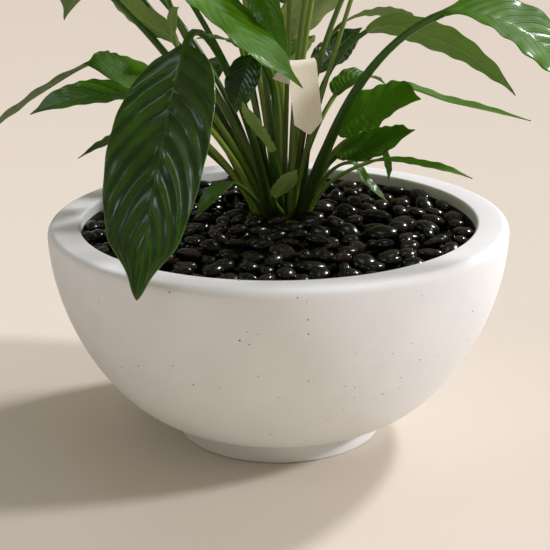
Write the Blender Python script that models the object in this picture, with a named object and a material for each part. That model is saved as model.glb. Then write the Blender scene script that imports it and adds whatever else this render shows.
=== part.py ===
"""Potted peace lily in a low round planter bowl.

Metres, +Z up, front towards -Y. The origin is the centre of the flat foot that the bowl stands on.
From the bottom up: the bowl, a drainage layer, potting soil with the root ball in its pocket, a
layer of dressing pebbles, the crown, and the leaves, flowers and plant tag that rise from it. A
leaf is one grown piece: its stalk and its blade are one body.
"""

import math
from dataclasses import dataclass, replace

import bpy
import numpy as np
from mathutils.bvhtree import BVHTree

# Planter bowl
BOWL_RADIUS = 0.215
BOWL_HEIGHT = 0.208
RIM_WIDTH = 0.030
RIM_OUTER_ROUND = 0.008
RIM_INNER_ROUND = 0.003
FOOT_RADIUS = 0.0985
FOOT_HEIGHT = 0.021
FOOT_FLARE = 0.0033
OUTER_SWELL = 0.47
INNER_SWELL = 0.50
WALL_TURN = 0.52
WALL_DRAFT = 0.0015
FLOOR_THICKNESS = 0.026
FLOOR_FLAT = 0.070
FLOOR_EDGE = 0.086
FLOOR_RISE = 0.010

# What fills it
GAP = 0.0003
FILL_CLEARANCE = 0.0012
PEBBLES_BELOW_RIM = 0.008
PEBBLE_LAYER = 0.034
PEBBLE_BUMP = 0.0035
GRAVEL_LAYER = 0.026
ROOT_BALL_RADIUS = 0.070
ROOT_BALL_TAPER = 0.016
SOIL_UNDER_ROOTS = 0.0281

# Crown, from which every leaf and flower stalk rises
CROWN_X = -0.010
CROWN_Y = 0.045
CROWN_RADIUS = 0.052
CROWN_SINK = 0.010
CROWN_CHAMFER = (0.002, 0.003)
CROWN_MARGIN = 0.006
ROOT_SPACING = 0.0105

# Leaves and flowers
BLADE_THICKNESS = 0.0013
BLADE_FOLD = 0.20
NECK_WIDTH = 0.0042
TIP_WIDTH = 0.0024
LEAF_CLEARANCE = 0.0011
FLOWER_STALK = 0.0052
SPATHE_LENGTH = 0.125
SPATHE_WIDTH = 0.066
SPATHE_THICKNESS = 0.0012
SPATHE_LIFT = 0.003
SPATHE_SET_BACK = 0.007
SPATHE_LEAN = 0.020
SPATHE_TIP_AHEAD = 0.004
SPADIX_LENGTH = 0.058
SPADIX_WIDTH = 0.0125
SPADIX_LIFT = 0.0009

# Plant tag, a card strip folded over a stalk
TAG_WIDTH = 0.027
TAG_FRONT = 0.058
TAG_BACK = 0.020
TAG_FOLD_RADIUS = 0.007
TAG_THICKNESS = 0.0007
TAG_PLACE = (0.030, -0.085, 0.166)
TAG_HANG = (0.10, -0.10, -1.0)
TAG_REAR_HANG = (-0.55, 0.25, -0.80)
TAG_FACING = (0.35, -0.90, 0.0)
TAG_LEVEL = (0.93, 0.36, 0.0)

# Facets
SIDES = 48
WALL_RINGS = 10
STALK_RINGS = 5
BLADE_RINGS = 9

# Depth below the rim that the leaves are kept clear of
RIM_SKIRT = 0.08

UP = np.array([0.0, 0.0, 1.0])


@dataclass(frozen=True)
class Leaf:
    """A leaf by three places on it, from the middle of the crown's top: where the blade begins,
    its middle and its tip. Roll turns the blade about its own midrib, in degrees. Rise is how
    upright the stalk sets out, and hook how much of the bend under the blade is in the stalk."""

    name: str
    start: tuple
    middle: tuple
    tip: tuple
    width: float
    roll: float = 0.0
    stalk: float = 0.0072
    neck: float = NECK_WIDTH
    rise: float = 0.35
    hook: float = 0.5


@dataclass(frozen=True)
class Flower:
    """A flower by the top of its stalk, the way its hood faces in degrees, and its size."""

    name: str
    top: tuple
    facing: float
    size: float = 1.0


LEAVES = (
    Leaf("drape_front", (-0.067, -0.135, 0.194), (-0.079, -0.225, 0.124), (-0.102, -0.274, 0.016), 0.093,
         stalk=0.0085, neck=0.0056, hook=0.92),
    Leaf("arch_right", (0.157, -0.075, 0.211), (0.215, -0.085, 0.201), (0.290, -0.105, 0.128), 0.076, 12,
         stalk=0.0125, neck=0.0064, rise=0.0),
    Leaf("sunlit_centre", (-0.088, -0.055, 0.251), (-0.027, -0.125, 0.212), (0.031, -0.165, 0.163), 0.070, -32),
    Leaf("spear_centre", (-0.015, -0.045, 0.266), (0.004, -0.095, 0.216), (0.022, -0.115, 0.169), 0.040, 55),
    Leaf("sweep_left", (-0.134, -0.015, 0.161), (-0.205, -0.025, 0.136), (-0.295, -0.045, 0.061), 0.050, 15),
    Leaf("cup_left", (-0.096, -0.055, 0.148), (-0.129, -0.095, 0.164), (-0.154, -0.125, 0.178), 0.052, -35),
    Leaf("arm_left", (-0.117, -0.025, 0.129), (-0.163, -0.065, 0.137), (-0.208, -0.095, 0.128), 0.042, -20,
         rise=0.2),
    Leaf("low_left", (-0.115, 0.035, 0.091), (-0.146, 0.005, 0.083), (-0.181, -0.005, 0.066), 0.034),
    Leaf("high_left", (-0.190, 0.005, 0.256), (-0.255, 0.000, 0.276), (-0.320, -0.020, 0.216), 0.085,
         stalk=0.0105, neck=0.0056, rise=0.1),
    Leaf("high_left_back", (-0.170, 0.055, 0.268), (-0.235, 0.080, 0.306), (-0.300, 0.100, 0.291), 0.080,
         stalk=0.0085, rise=0.1),
    Leaf("blade_up_left", (-0.083, -0.006, 0.176), (-0.119, 0.002, 0.200), (-0.158, 0.004, 0.243), 0.042, 40),
    Leaf("high_front_left", (-0.112, -0.060, 0.296), (-0.150, -0.130, 0.346), (-0.195, -0.210, 0.326), 0.085,
         rise=0.95),
    Leaf("curl_left", (-0.083, -0.045, 0.189), (-0.084, -0.046, 0.203), (-0.077, -0.055, 0.215), 0.014),
    Leaf("roof_centre", (-0.004, -0.035, 0.162), (-0.029, -0.065, 0.186), (-0.060, -0.085, 0.192), 0.042),
    Leaf("dark_centre", (-0.010, -0.062, 0.172), (-0.020, -0.076, 0.154), (-0.027, -0.083, 0.124), 0.034),
    Leaf("young_front", (0.004, -0.072, 0.088), (-0.010, -0.092, 0.114), (-0.021, -0.104, 0.140), 0.032, -30),
    Leaf("seedling_front", (0.008, -0.056, 0.040), (0.018, -0.068, 0.056), (0.028, -0.071, 0.070), 0.020,
         stalk=0.0045, neck=0.0028),
    Leaf("curl_front", (-0.033, -0.055, 0.054), (-0.048, -0.085, 0.051), (-0.063, -0.105, 0.035), 0.020,
         stalk=0.0055, neck=0.0034, rise=0.05),
    Leaf("broad_back", (0.005, 0.055, 0.170), (0.058, 0.095, 0.200), (0.119, 0.125, 0.246), 0.100, -50),
    Leaf("far_right_back", (0.070, 0.075, 0.176), (0.118, 0.095, 0.187), (0.155, 0.105, 0.173), 0.040, -20),
    Leaf("long_right", (0.094, 0.005, 0.183), (0.168, 0.005, 0.172), (0.233, -0.015, 0.125), 0.058, -35,
         rise=0.6),
    Leaf("thin_right", (0.110, 0.045, 0.121), (0.184, 0.045, 0.106), (0.256, 0.025, 0.092), 0.034),
    Leaf("bright_right", (0.068, 0.010, 0.086), (0.102, -0.005, 0.112), (0.143, -0.028, 0.125), 0.080, 25),
    Leaf("bright_right_low", (0.068, 0.035, 0.056), (0.105, 0.012, 0.072), (0.140, -0.010, 0.092), 0.056, 20),
    Leaf("dark_right_up", (0.049, 0.025, 0.141), (0.069, 0.045, 0.161), (0.093, 0.055, 0.179), 0.036, 30),
    Leaf("hang_right", (0.107, 0.065, 0.072), (0.117, 0.060, 0.051), (0.121, 0.055, 0.025), 0.026),
    Leaf("roof_right", (0.068, 0.075, 0.109), (0.092, 0.095, 0.124), (0.120, 0.105, 0.114), 0.040),
    Leaf("low_right", (0.096, -0.045, 0.070), (0.145, -0.065, 0.071), (0.187, -0.075, 0.061), 0.022,
         stalk=0.0055, neck=0.0034),
    Leaf("fold_right", (0.080, -0.015, 0.062), (0.094, -0.028, 0.046), (0.114, -0.035, 0.028), 0.016,
         stalk=0.0050, neck=0.0032),
    Leaf("nook_right", (0.055, 0.055, 0.041), (0.075, 0.075, 0.048), (0.100, 0.090, 0.048), 0.024,
         stalk=0.0050, neck=0.0032),
    Leaf("high_front", (-0.035, -0.080, 0.336), (-0.055, -0.160, 0.376), (-0.068, -0.250, 0.336), 0.090,
         rise=0.8),
    Leaf("high_front_right", (0.070, -0.060, 0.336), (0.120, -0.130, 0.376), (0.170, -0.210, 0.336), 0.088),
    Leaf("high_right", (0.150, 0.010, 0.336), (0.215, 0.000, 0.366), (0.290, -0.030, 0.326), 0.084,
         rise=0.95),
    Leaf("high_right_back", (0.090, 0.080, 0.346), (0.150, 0.150, 0.386), (0.210, 0.220, 0.356), 0.088),
    Leaf("high_back", (0.000, 0.090, 0.366), (-0.010, 0.170, 0.406), (-0.020, 0.260, 0.366), 0.090),
    Leaf("top_left_back", (-0.095, 0.070, 0.376), (-0.145, 0.130, 0.416), (-0.195, 0.195, 0.386), 0.088),
    Leaf("top_centre", (0.020, 0.010, 0.386), (0.045, -0.045, 0.431), (0.080, -0.110, 0.426), 0.080),
    Leaf("mid_back", (-0.030, 0.100, 0.246), (-0.040, 0.180, 0.266), (-0.050, 0.265, 0.206), 0.090),
    Leaf("mid_left_back", (-0.110, 0.090, 0.211), (-0.160, 0.140, 0.226), (-0.215, 0.180, 0.171), 0.080),
    Leaf("mid_right_back", (0.020, 0.146, 0.191), (0.038, 0.210, 0.206), (0.056, 0.272, 0.156), 0.080,
         rise=0.05),
    Leaf("low_back_left", (-0.060, 0.095, 0.116), (-0.085, 0.150, 0.126), (-0.105, 0.205, 0.081), 0.070),
    Leaf("low_back", (0.006, 0.106, 0.136), (0.012, 0.166, 0.146), (0.018, 0.226, 0.096), 0.076),
)

FLOWERS = (
    Flower("right", (0.118, -0.030, 0.391), 20),
    Flower("left", (-0.075, 0.000, 0.446), -35, 1.08),
    Flower("back", (0.030, 0.065, 0.456), 150, 0.9),
)


def unit(vector):
    return vector / np.linalg.norm(vector)


def spread(start, stop, count):
    return np.linspace(start, stop, count)


# Materials and meshes

def material(name, colour, roughness):
    made = bpy.data.materials.new(name)
    made.use_nodes = True
    shader = made.node_tree.nodes["Principled BSDF"]
    shader.inputs["Base Color"].default_value = (*colour, 1.0)
    shader.inputs["Roughness"].default_value = roughness
    shader.inputs["Metallic"].default_value = 0.0
    made.diffuse_color = (*colour, 1.0)
    return made


def loft_faces(rings, looped):
    """Points and faces of a body skinned over rings of points. A ring of one point is a pole."""
    points = np.vstack(rings)
    first = np.cumsum([0] + [len(ring) for ring in rings])
    pairs = list(zip(range(len(rings) - 1), range(1, len(rings))))
    if looped:
        pairs.append((len(rings) - 1, 0))
    faces = []
    for low, high in pairs:
        below = range(first[low], first[low + 1])
        above = range(first[high], first[high + 1])
        count = max(len(below), len(above))
        for side in range(count):
            ahead = (side + 1) % count
            if len(below) == 1:
                faces.append((below[0], above[ahead], above[side]))
            elif len(above) == 1:
                faces.append((below[side], below[ahead], above[0]))
            else:
                faces.append((below[side], below[ahead], above[ahead], above[side]))
    return points, faces


def add_body(name, rings, finish, looped=False):
    """A closed body from its rings, named, dressed and facing outwards."""
    points, faces = loft_faces(rings, looped)
    mesh = bpy.data.meshes.new(name)
    mesh.from_pydata([tuple(point) for point in points], [], faces)
    mesh.materials.append(finish)
    mesh.shade_smooth()
    mesh.set_sharp_from_angle(angle=math.radians(40))
    body = bpy.data.objects.new(name, mesh)
    bpy.context.scene.collection.objects.link(body)
    if enclosed_volume(mesh) < 0:
        mesh.flip_normals()
    return body


def enclosed_volume(mesh):
    mesh.calc_loop_triangles()
    points = np.array([vertex.co for vertex in mesh.vertices])
    corners = points[[tuple(face.vertices) for face in mesh.loop_triangles]]
    return np.linalg.det(corners).sum() / 6


def circle(centre, radius, height, sides):
    angles = spread(0, math.tau, sides + 1)[:-1]
    x, y = centre
    return np.stack([
        x + radius * np.cos(angles),
        y + radius * np.sin(angles),
        np.full(sides, height),
    ], axis=1)


def bezier(corners, count):
    """Points along a cubic curve through its four corners."""
    along = spread(0, 1, count)[:, None]
    a, b, c, d = (np.array(corner) for corner in corners)
    back = 1 - along
    return back**3 * a + 3 * back**2 * along * b + 3 * back * along**2 * c + along**3 * d


# Planter bowl

def outer_side():
    """The bowl's outer side in radius and height, from the foot's seam to the rim."""
    seam = FOOT_RADIUS + FOOT_FLARE
    rim = BOWL_HEIGHT - RIM_OUTER_ROUND
    return bezier([
        (seam, FOOT_HEIGHT),
        (seam + OUTER_SWELL * (BOWL_RADIUS - seam), FOOT_HEIGHT + 0.035 * (rim - FOOT_HEIGHT)),
        (BOWL_RADIUS - WALL_DRAFT, FOOT_HEIGHT + WALL_TURN * (rim - FOOT_HEIGHT)),
        (BOWL_RADIUS, rim),
    ], WALL_RINGS)


def inner_side():
    """The bowl's inner side, from the floor's edge up to the rim."""
    rim = BOWL_RADIUS - RIM_WIDTH
    top = BOWL_HEIGHT - RIM_INNER_ROUND
    return bezier([
        (FLOOR_EDGE, FLOOR_THICKNESS + FLOOR_RISE),
        (FLOOR_EDGE + INNER_SWELL * (rim - FLOOR_EDGE), FLOOR_THICKNESS + 1.6 * FLOOR_RISE),
        (rim - WALL_DRAFT, FLOOR_THICKNESS + WALL_TURN * (top - FLOOR_THICKNESS)),
        (rim, top),
    ], WALL_RINGS)


def build_bowl(finish):
    outer = outer_side()
    inner = inner_side()[::-1]
    rim_in = BOWL_RADIUS - RIM_WIDTH
    profile = [
        (FOOT_RADIUS, 0.0),
        *outer,
        (BOWL_RADIUS - 0.3 * RIM_OUTER_ROUND, BOWL_HEIGHT - 0.3 * RIM_OUTER_ROUND),
        (BOWL_RADIUS - RIM_OUTER_ROUND, BOWL_HEIGHT),
        (rim_in + RIM_INNER_ROUND, BOWL_HEIGHT),
        *inner,
        (FLOOR_FLAT, FLOOR_THICKNESS),
    ]
    rings = [circle((0, 0), radius, height, SIDES) for radius, height in profile]
    rings.insert(0, np.zeros((1, 3)))
    rings.append(np.array([[0, 0, FLOOR_THICKNESS]]))
    add_body("planter_bowl", rings, finish)


# Fill

def fill_levels():
    """Heights of the layers, from the gravel's underside to the pebbles' top."""
    pebble_top = BOWL_HEIGHT - PEBBLES_BELOW_RIM
    pebble_base = pebble_top - PEBBLE_LAYER
    gravel_base = FLOOR_THICKNESS + GAP
    return gravel_base, gravel_base + GRAVEL_LAYER, pebble_base, pebble_top


def pocket_floor():
    """Height of the floor of the soil's pocket, which the root ball stands on."""
    return fill_levels()[1] + GAP + SOIL_UNDER_ROOTS


def fill_edge(low, high):
    """Rings of a layer's edge between two heights, clear of the bowl's wall."""
    wall = np.array([(FLOOR_FLAT, FLOOR_THICKNESS), *inner_side()])
    along = np.gradient(wall, axis=0)
    inward = np.stack([-along[:, 1], along[:, 0]], axis=1)
    inset = wall + FILL_CLEARANCE * inward / np.linalg.norm(inward, axis=1)[:, None]
    between = [(radius, height) for radius, height in inset if low < height < high]
    ends = [(np.interp(height, inset[:, 1], inset[:, 0]), height) for height in (low, high)]
    return [circle((0, 0), radius, height, SIDES) for radius, height in (ends[0], *between, ends[1])]


def build_gravel(finish):
    base, top, _, _ = fill_levels()
    rings = [
        np.array([[0, 0, base]]),
        *fill_edge(base, top),
        np.array([[0, 0, top]]),
    ]
    add_body("drainage_gravel", rings, finish)


def build_soil(finish):
    _, gravel_top, pebble_base, _ = fill_levels()
    base = gravel_top + GAP
    top = pebble_base - GAP
    crown = (CROWN_X, CROWN_Y)
    floor = pocket_floor()
    rings = [
        np.array([[0, 0, base]]),
        *fill_edge(base, top),
        circle(crown, ROOT_BALL_RADIUS + GAP, top, SIDES),
        circle(crown, ROOT_BALL_RADIUS - ROOT_BALL_TAPER + GAP, floor, SIDES),
        np.array([[*crown, floor]]),
    ]
    add_body("potting_soil", rings, finish)


def build_root_ball(finish):
    _, _, pebble_base, _ = fill_levels()
    crown = (CROWN_X, CROWN_Y)
    top = pebble_base - GAP
    base = pocket_floor() + GAP
    rings = [
        np.array([[*crown, base]]),
        circle(crown, ROOT_BALL_RADIUS - ROOT_BALL_TAPER, base, SIDES),
        circle(crown, ROOT_BALL_RADIUS, top, SIDES),
        np.array([[*crown, top]]),
    ]
    add_body("root_ball", rings, finish)


def build_pebbles(finish):
    """The dressing pebbles as one bed, with a hole round the crown and an uneven top."""
    _, _, base, top = fill_levels()
    rng = np.random.default_rng(7)
    crown = (CROWN_X, CROWN_Y)
    edge = fill_edge(base, top - PEBBLE_BUMP)
    hole = circle(crown, CROWN_RADIUS + GAP, top - CROWN_SINK, SIDES)
    rings = list(edge)
    for share in (0.15, 0.35, 0.55, 0.75, 0.92):
        ring = edge[-1] + share * (hole - edge[-1])
        ring[:, 2] = top - PEBBLE_BUMP * rng.random(SIDES)
        rings.append(ring)
    rings += [hole, circle(crown, CROWN_RADIUS + GAP, base, SIDES)]
    add_body("pebble_bed", rings, finish, looped=True)


def build_crown(finish):
    """The plant's short rootstock, a low dome on top of the root ball."""
    _, _, base, _ = fill_levels()
    crown = (CROWN_X, CROWN_Y)
    top = crown_top()
    inset, drop = CROWN_CHAMFER
    rings = [
        np.array([[*crown, base]]),
        circle(crown, CROWN_RADIUS, base, SIDES),
        circle(crown, CROWN_RADIUS, top - drop, SIDES),
        circle(crown, CROWN_RADIUS - inset, top, SIDES),
        np.array([[*crown, top]]),
    ]
    add_body("crown", rings, finish)


# Leaves

def crown_top():
    return fill_levels()[3] - CROWN_SINK


def in_bowl(place):
    """A place given from the middle of the crown's top, in the part's frame."""
    return np.array([CROWN_X, CROWN_Y, crown_top()]) + np.array(place)


def stalk_feet(tops):
    """Where each stalk rises: under its own top, the more upright the nearer the middle, and then
    pushed apart until each has its own room."""
    lean = np.array([top[:2] for top in tops])
    far = np.linalg.norm(lean, axis=1)
    rank = np.argsort(np.argsort(far / [top[2] for top in tops]))
    room = CROWN_RADIUS - CROWN_MARGIN
    feet = lean / far[:, None] * (room * np.sqrt((rank + 0.5) / len(tops)))[:, None]
    own = np.eye(len(feet))
    for _ in range(300):
        away = feet[:, None] - feet[None]
        distance = np.linalg.norm(away, axis=2) + own
        push = np.clip(ROOT_SPACING - distance, 0, None) * (1 - own)
        feet = feet + 0.25 * (away / distance[:, :, None] * push[:, :, None]).sum(1)
        reach = np.linalg.norm(feet, axis=1)
        out = reach > room
        feet[out] *= (room / reach[out])[:, None]
    height = crown_top() + GAP
    return [np.array([CROWN_X + x, CROWN_Y + y, height]) for x, y in feet]


def hermite(start, leave, stop, arrive, count):
    s = spread(0, 1, count)[:, None]
    return (
        (2 * s**3 - 3 * s**2 + 1) * start
        + (s**3 - 2 * s**2 + s) * leave
        + (3 * s**2 - 2 * s**3) * stop
        + (s**3 - s**2) * arrive
    )


def evenly(points, count):
    """The same line with its points at even steps along it."""
    steps = np.linalg.norm(np.diff(points, axis=0), axis=1)
    along = np.concatenate([[0], np.cumsum(steps)])
    wanted = spread(0, along[-1], count)
    return np.stack([np.interp(wanted, along, points[:, axis]) for axis in range(3)], axis=1)


def leaf_line(foot, leaf):
    """The leaf's own line, up the stalk and along the midrib, with the direction at each point."""
    start, middle, tip = (in_bowl(place) for place in (leaf.start, leaf.middle, leaf.tip))
    up_stalk = start - foot
    first = middle - start
    last = tip - middle
    leave = unit(unit(up_stalk) * (1 - leaf.rise) + UP * leaf.rise)
    at_start = unit(unit(up_stalk) * (1 - leaf.hook) + unit(first) * leaf.hook)
    at_middle = unit(unit(first) + unit(last))
    at_tip = 2 * (at_middle @ unit(last)) * unit(last) - at_middle
    reach = [np.linalg.norm(stretch) for stretch in (up_stalk, first, last)]
    stalk = hermite(foot, leave * reach[0], start, at_start * reach[0], 40)
    near = hermite(start, at_start * reach[1], middle, at_middle * reach[1], 30)
    far = hermite(middle, at_middle * reach[2], tip, at_tip * reach[2], 30)
    stalk = evenly(stalk, STALK_RINGS)
    blade = evenly(np.vstack([near, far[1:]]), BLADE_RINGS + 1)
    line = np.vstack([stalk, blade[1:]])
    heading = np.gradient(line, axis=0)
    heading[0] = leave
    return line, heading / np.linalg.norm(heading, axis=1)[:, None]


def leaf_frame(line, heading, roll):
    """Across and over directions along the leaf. The roll comes on along the stalk."""
    out = (line[-1] - line[0])[:2]
    level = np.array([-out[1], out[0], 0.0]) / np.linalg.norm(out)
    across = level - (heading @ level)[:, None] * heading
    across /= np.linalg.norm(across, axis=1)[:, None]
    over = np.cross(heading, across)
    turn = np.clip(np.arange(len(line)) / (STALK_RINGS - 1), 0, 1) ** 2 * math.radians(roll)
    cos, sin = np.cos(turn)[:, None], np.sin(turn)[:, None]
    return cos * across + sin * over, cos * over - sin * across


def blade_outline(share):
    """Half width of a blade along its length, as a share of the widest: broadest a third of the
    way along, with a long drawn-out tip."""
    widest = 0.40
    body = share**0.60 * (1 - share) ** (0.60 * (1 - widest) / widest)
    top = widest**0.60 * (1 - widest) ** (0.60 * (1 - widest) / widest)
    return body / top


def leaf_rings(foot, leaf, grown=0.0):
    """Rings of eight points, round along the stalk and a thin folded section along the blade."""
    line, heading = leaf_line(foot, leaf)
    across, over = leaf_frame(line, heading, leaf.roll)
    across[0] = unit(across[0] * (1, 1, 0))
    over[0] = np.cross(UP, across[0])
    rings = [line[:1]]
    turn = math.pi - spread(0, math.tau, 9)[:-1]
    for place in range(len(line)):
        if place < STALK_RINGS:
            share = place / (STALK_RINGS - 1)
            radius = (leaf.stalk + share * (leaf.neck - leaf.stalk)) / 2 + grown
            section = [(radius * math.cos(angle), radius * math.sin(angle)) for angle in turn]
        else:
            share = (place - STALK_RINGS + 1) / BLADE_RINGS
            half = max(leaf.width / 2 * blade_outline(share), TIP_WIDTH / 2) + grown
            thick = BLADE_THICKNESS / 2 + grown
            lift = BLADE_FOLD * half
            section = [
                (-half, lift), (-half / 2, lift / 2 + thick), (0, thick), (half / 2, lift / 2 + thick),
                (half, lift), (half / 2, lift / 2 - thick), (0, -thick), (-half / 2, lift / 2 - thick),
            ]
        rings.append(np.array([line[place] + x * across[place] + y * over[place] for x, y in section]))
    rings.append(line[-1:])
    return rings


# Room between the pieces

class Cluster:
    """The pieces in place so far, which a new one has to clear."""

    def __init__(self):
        self.trees = []

    def add(self, rings, looped=False):
        points, faces = loft_faces(rings, looped)
        tree = BVHTree.FromPolygons([tuple(point) for point in points], faces)
        self.trees.append((points.min(0), points.max(0), tree))

    def fouls(self, rings):
        points, faces = loft_faces(rings, False)
        low, high = points.min(0), points.max(0)
        tree = BVHTree.FromPolygons([tuple(point) for point in points], faces)
        for other_low, other_high, other in self.trees:
            if (low < other_high).all() and (other_low < high).all() and tree.overlap(other):
                return True
        return False


def turned(place, degrees, lift):
    cos, sin = math.cos(math.radians(degrees)), math.sin(math.radians(degrees))
    x, y, z = place
    return (cos * x - sin * y, sin * x + cos * y, z + lift)


def settled(foot, leaf, cluster):
    """The leaf, turned about the crown or raised by as little as keeps it clear of the rest."""
    tries = [(0.0, 0.0)]
    for step in range(1, 14):
        for lift in (0.0, 0.004 * step):
            tries += [(1.5 * step, lift), (-1.5 * step, lift)]
        tries.append((0.0, 0.004 * step))
    for degrees, lift in tries:
        for bow in (0.0, 0.15, -0.15, 0.30, -0.30):
            moved = replace(
                leaf,
                start=turned(leaf.start, degrees, lift),
                middle=turned(leaf.middle, degrees, lift),
                tip=turned(leaf.tip, degrees, lift),
                rise=leaf.rise + bow,
            )
            if not cluster.fouls(leaf_rings(foot, moved, LEAF_CLEARANCE)):
                return moved
    return leaf


def build_leaves(feet, cluster, finish):
    for foot, leaf in zip(feet, LEAVES):
        placed = settled(foot, leaf, cluster)
        rings = leaf_rings(foot, placed)
        cluster.add(rings)
        add_body(f"leaf_{leaf.name}", rings, finish)


# Flowers

def stalk_rings(foot, top):
    height = np.linalg.norm(top - foot)
    leave = unit(unit(top - foot) + 0.5 * UP) * height
    arrive = unit(unit(top - foot) + UP) * height
    line = evenly(hermite(foot, leave, top, arrive, 40), 7)
    rings = [line[:1]]
    for place, centre in enumerate(line):
        radius = FLOWER_STALK / 2 * (1 - 0.3 * place / 6)
        rings.append(circle(centre[:2], radius, centre[2], 8))
    rings.append(line[-1:])
    return rings


def hood_rings(top, flower):
    """The spathe: a pointed hood that rises behind the spadix and cups round it."""
    facing = math.radians(flower.facing)
    front = np.array([math.sin(facing), -math.cos(facing), 0.0])
    side = np.cross(UP, front)
    length = SPATHE_LENGTH * flower.size
    base = top + UP * SPATHE_LIFT - front * SPATHE_SET_BACK
    rings = [np.array([base])]
    count = 9
    for place in range(1, count):
        share = place / count
        half = SPATHE_WIDTH * flower.size / 2 * blade_outline(share)
        lean = SPATHE_LEAN * math.sin(math.pi * share) * (1 - share)
        centre = base + UP * length * share - front * lean
        cup = 0.55 * half * (1 - 0.6 * share)
        thick = SPATHE_THICKNESS / 2
        section = [
            (-half, cup), (-half / 2, cup / 3 + thick), (0, thick), (half / 2, cup / 3 + thick),
            (half, cup), (half / 2, cup / 3 - thick), (0, -thick), (-half / 2, cup / 3 - thick),
        ]
        rings.append(np.array([centre + x * side + y * front for x, y in section]))
    rings.append(np.array([base + UP * length + front * SPATHE_TIP_AHEAD]))
    return rings


def spadix_rings(top, flower):
    length = SPADIX_LENGTH * flower.size
    widest = SPADIX_WIDTH / 2
    base = top + UP * SPADIX_LIFT
    rings = [np.array([base])]
    for share, width in ((0.0, 0.45), (0.12, 0.55), (0.22, 1.0), (0.80, 0.95), (0.95, 0.6)):
        centre = base + UP * length * share
        rings.append(circle(centre[:2], widest * width, centre[2], 10))
    rings.append(np.array([base + UP * length]))
    return rings


def build_flowers(feet, cluster, green, white, cream):
    for foot, flower in zip(feet, FLOWERS):
        top = in_bowl(flower.top)
        for piece, rings, finish in (
            ("stalk", stalk_rings(foot, top), green),
            ("spathe", hood_rings(top, flower), white),
            ("spadix", spadix_rings(top, flower), cream),
        ):
            cluster.add(rings)
            add_body(f"flower_{piece}_{flower.name}", rings, finish)


# Plant tag

def tag_line():
    """The strip's line from the front point, up over the fold and down behind."""
    fold = in_bowl(TAG_PLACE)
    down = unit(np.array(TAG_HANG))
    back = unit(np.array(TAG_REAR_HANG))
    ahead = unit(np.array(TAG_FACING))
    start = fold + ahead * TAG_FOLD_RADIUS
    finish = fold - ahead * TAG_FOLD_RADIUS
    front = [start + down * TAG_FRONT * share for share in (1.0, 0.83, 0.55, 0.25, 0.0)]
    bend = [
        fold + TAG_FOLD_RADIUS * (math.cos(angle) * ahead + math.sin(angle) * UP)
        for angle in np.radians([35, 70, 110, 145])
    ]
    rear = [finish + back * TAG_BACK * share for share in (0.1, 0.5, 1.0)]
    return np.array(front + bend + rear)


def tag_rings():
    line = tag_line()
    heading = np.gradient(line, axis=0)
    level = unit(np.array(TAG_LEVEL))
    rings = []
    for place, (centre, way) in enumerate(zip(line, heading)):
        side = unit(level - (level @ unit(way)) * unit(way))
        proud = np.cross(unit(way), side) * TAG_THICKNESS / 2
        half = TAG_WIDTH / 2 * (0.12 if place == 0 else 1.0)
        corners = ((-half, -1), (half, -1), (half, 1), (-half, 1))
        rings.append(np.array([centre + x * side + sign * proud for x, sign in corners]))
    return [line[:1], *rings, line[-1:]]


def main():
    for old in list(bpy.data.objects):
        bpy.data.objects.remove(old, do_unlink=True)
    leaf_green = material("leaf_green", (0.035, 0.115, 0.025), 0.35)
    build_bowl(material("fibre_cement", (0.80, 0.78, 0.74), 0.75))
    build_gravel(material("gravel", (0.30, 0.28, 0.25), 0.90))
    build_soil(material("soil", (0.045, 0.030, 0.020), 0.95))
    build_root_ball(material("roots", (0.34, 0.25, 0.15), 0.90))
    build_pebbles(material("black_pebble", (0.012, 0.011, 0.010), 0.20))
    build_crown(material("rootstock", (0.16, 0.17, 0.06), 0.70))
    cluster = Cluster()
    tag = tag_rings()
    cluster.add(tag)
    add_body("plant_tag", tag, material("tag_card", (0.78, 0.74, 0.66), 0.60))
    feet = stalk_feet([leaf.start for leaf in LEAVES] + [flower.top for flower in FLOWERS])
    build_flowers(
        feet[len(LEAVES):],
        cluster,
        material("flower_stalk_green", (0.18, 0.30, 0.06), 0.45),
        material("spathe_white", (0.82, 0.83, 0.76), 0.50),
        material("spadix_cream", (0.72, 0.66, 0.38), 0.70),
    )
    rim = [circle((0, 0), radius, BOWL_HEIGHT, SIDES) for radius in (
        BOWL_RADIUS - RIM_WIDTH, BOWL_RADIUS)]
    rim.append(circle((0, 0), BOWL_RADIUS, BOWL_HEIGHT - RIM_SKIRT, SIDES))
    cluster.add(rim)
    build_leaves(feet, cluster, leaf_green)


if __name__ == "__main__":
    main()
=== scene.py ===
"""The finished surfaces of a potted peace lily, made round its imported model.

The planter bowl, its dressing pebbles, every leaf, the flowers and the plant tag are modelled
finely in place of their plain solids. The hidden fill keeps its solids and gets its materials.
All lengths are in metres unless a name says otherwise. Up is +Z and the front faces -Y.
"""

import sys
import logging
import math
from dataclasses import dataclass
from enum import Enum

import bpy
import numpy as np
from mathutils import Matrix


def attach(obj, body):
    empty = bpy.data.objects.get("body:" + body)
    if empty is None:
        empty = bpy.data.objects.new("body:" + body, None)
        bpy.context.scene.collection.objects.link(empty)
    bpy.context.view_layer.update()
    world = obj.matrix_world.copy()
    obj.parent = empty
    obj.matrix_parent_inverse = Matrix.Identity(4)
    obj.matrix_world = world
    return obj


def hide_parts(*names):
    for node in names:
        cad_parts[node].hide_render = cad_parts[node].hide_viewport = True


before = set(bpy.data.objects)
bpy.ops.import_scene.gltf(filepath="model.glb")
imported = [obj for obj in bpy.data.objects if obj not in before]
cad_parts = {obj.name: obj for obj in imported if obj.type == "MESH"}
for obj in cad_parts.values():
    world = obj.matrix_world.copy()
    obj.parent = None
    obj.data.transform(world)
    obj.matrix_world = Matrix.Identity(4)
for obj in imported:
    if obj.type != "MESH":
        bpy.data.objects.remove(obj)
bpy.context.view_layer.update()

logging.basicConfig(level=logging.INFO, format="%(message)s", stream=sys.stdout)
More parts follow.
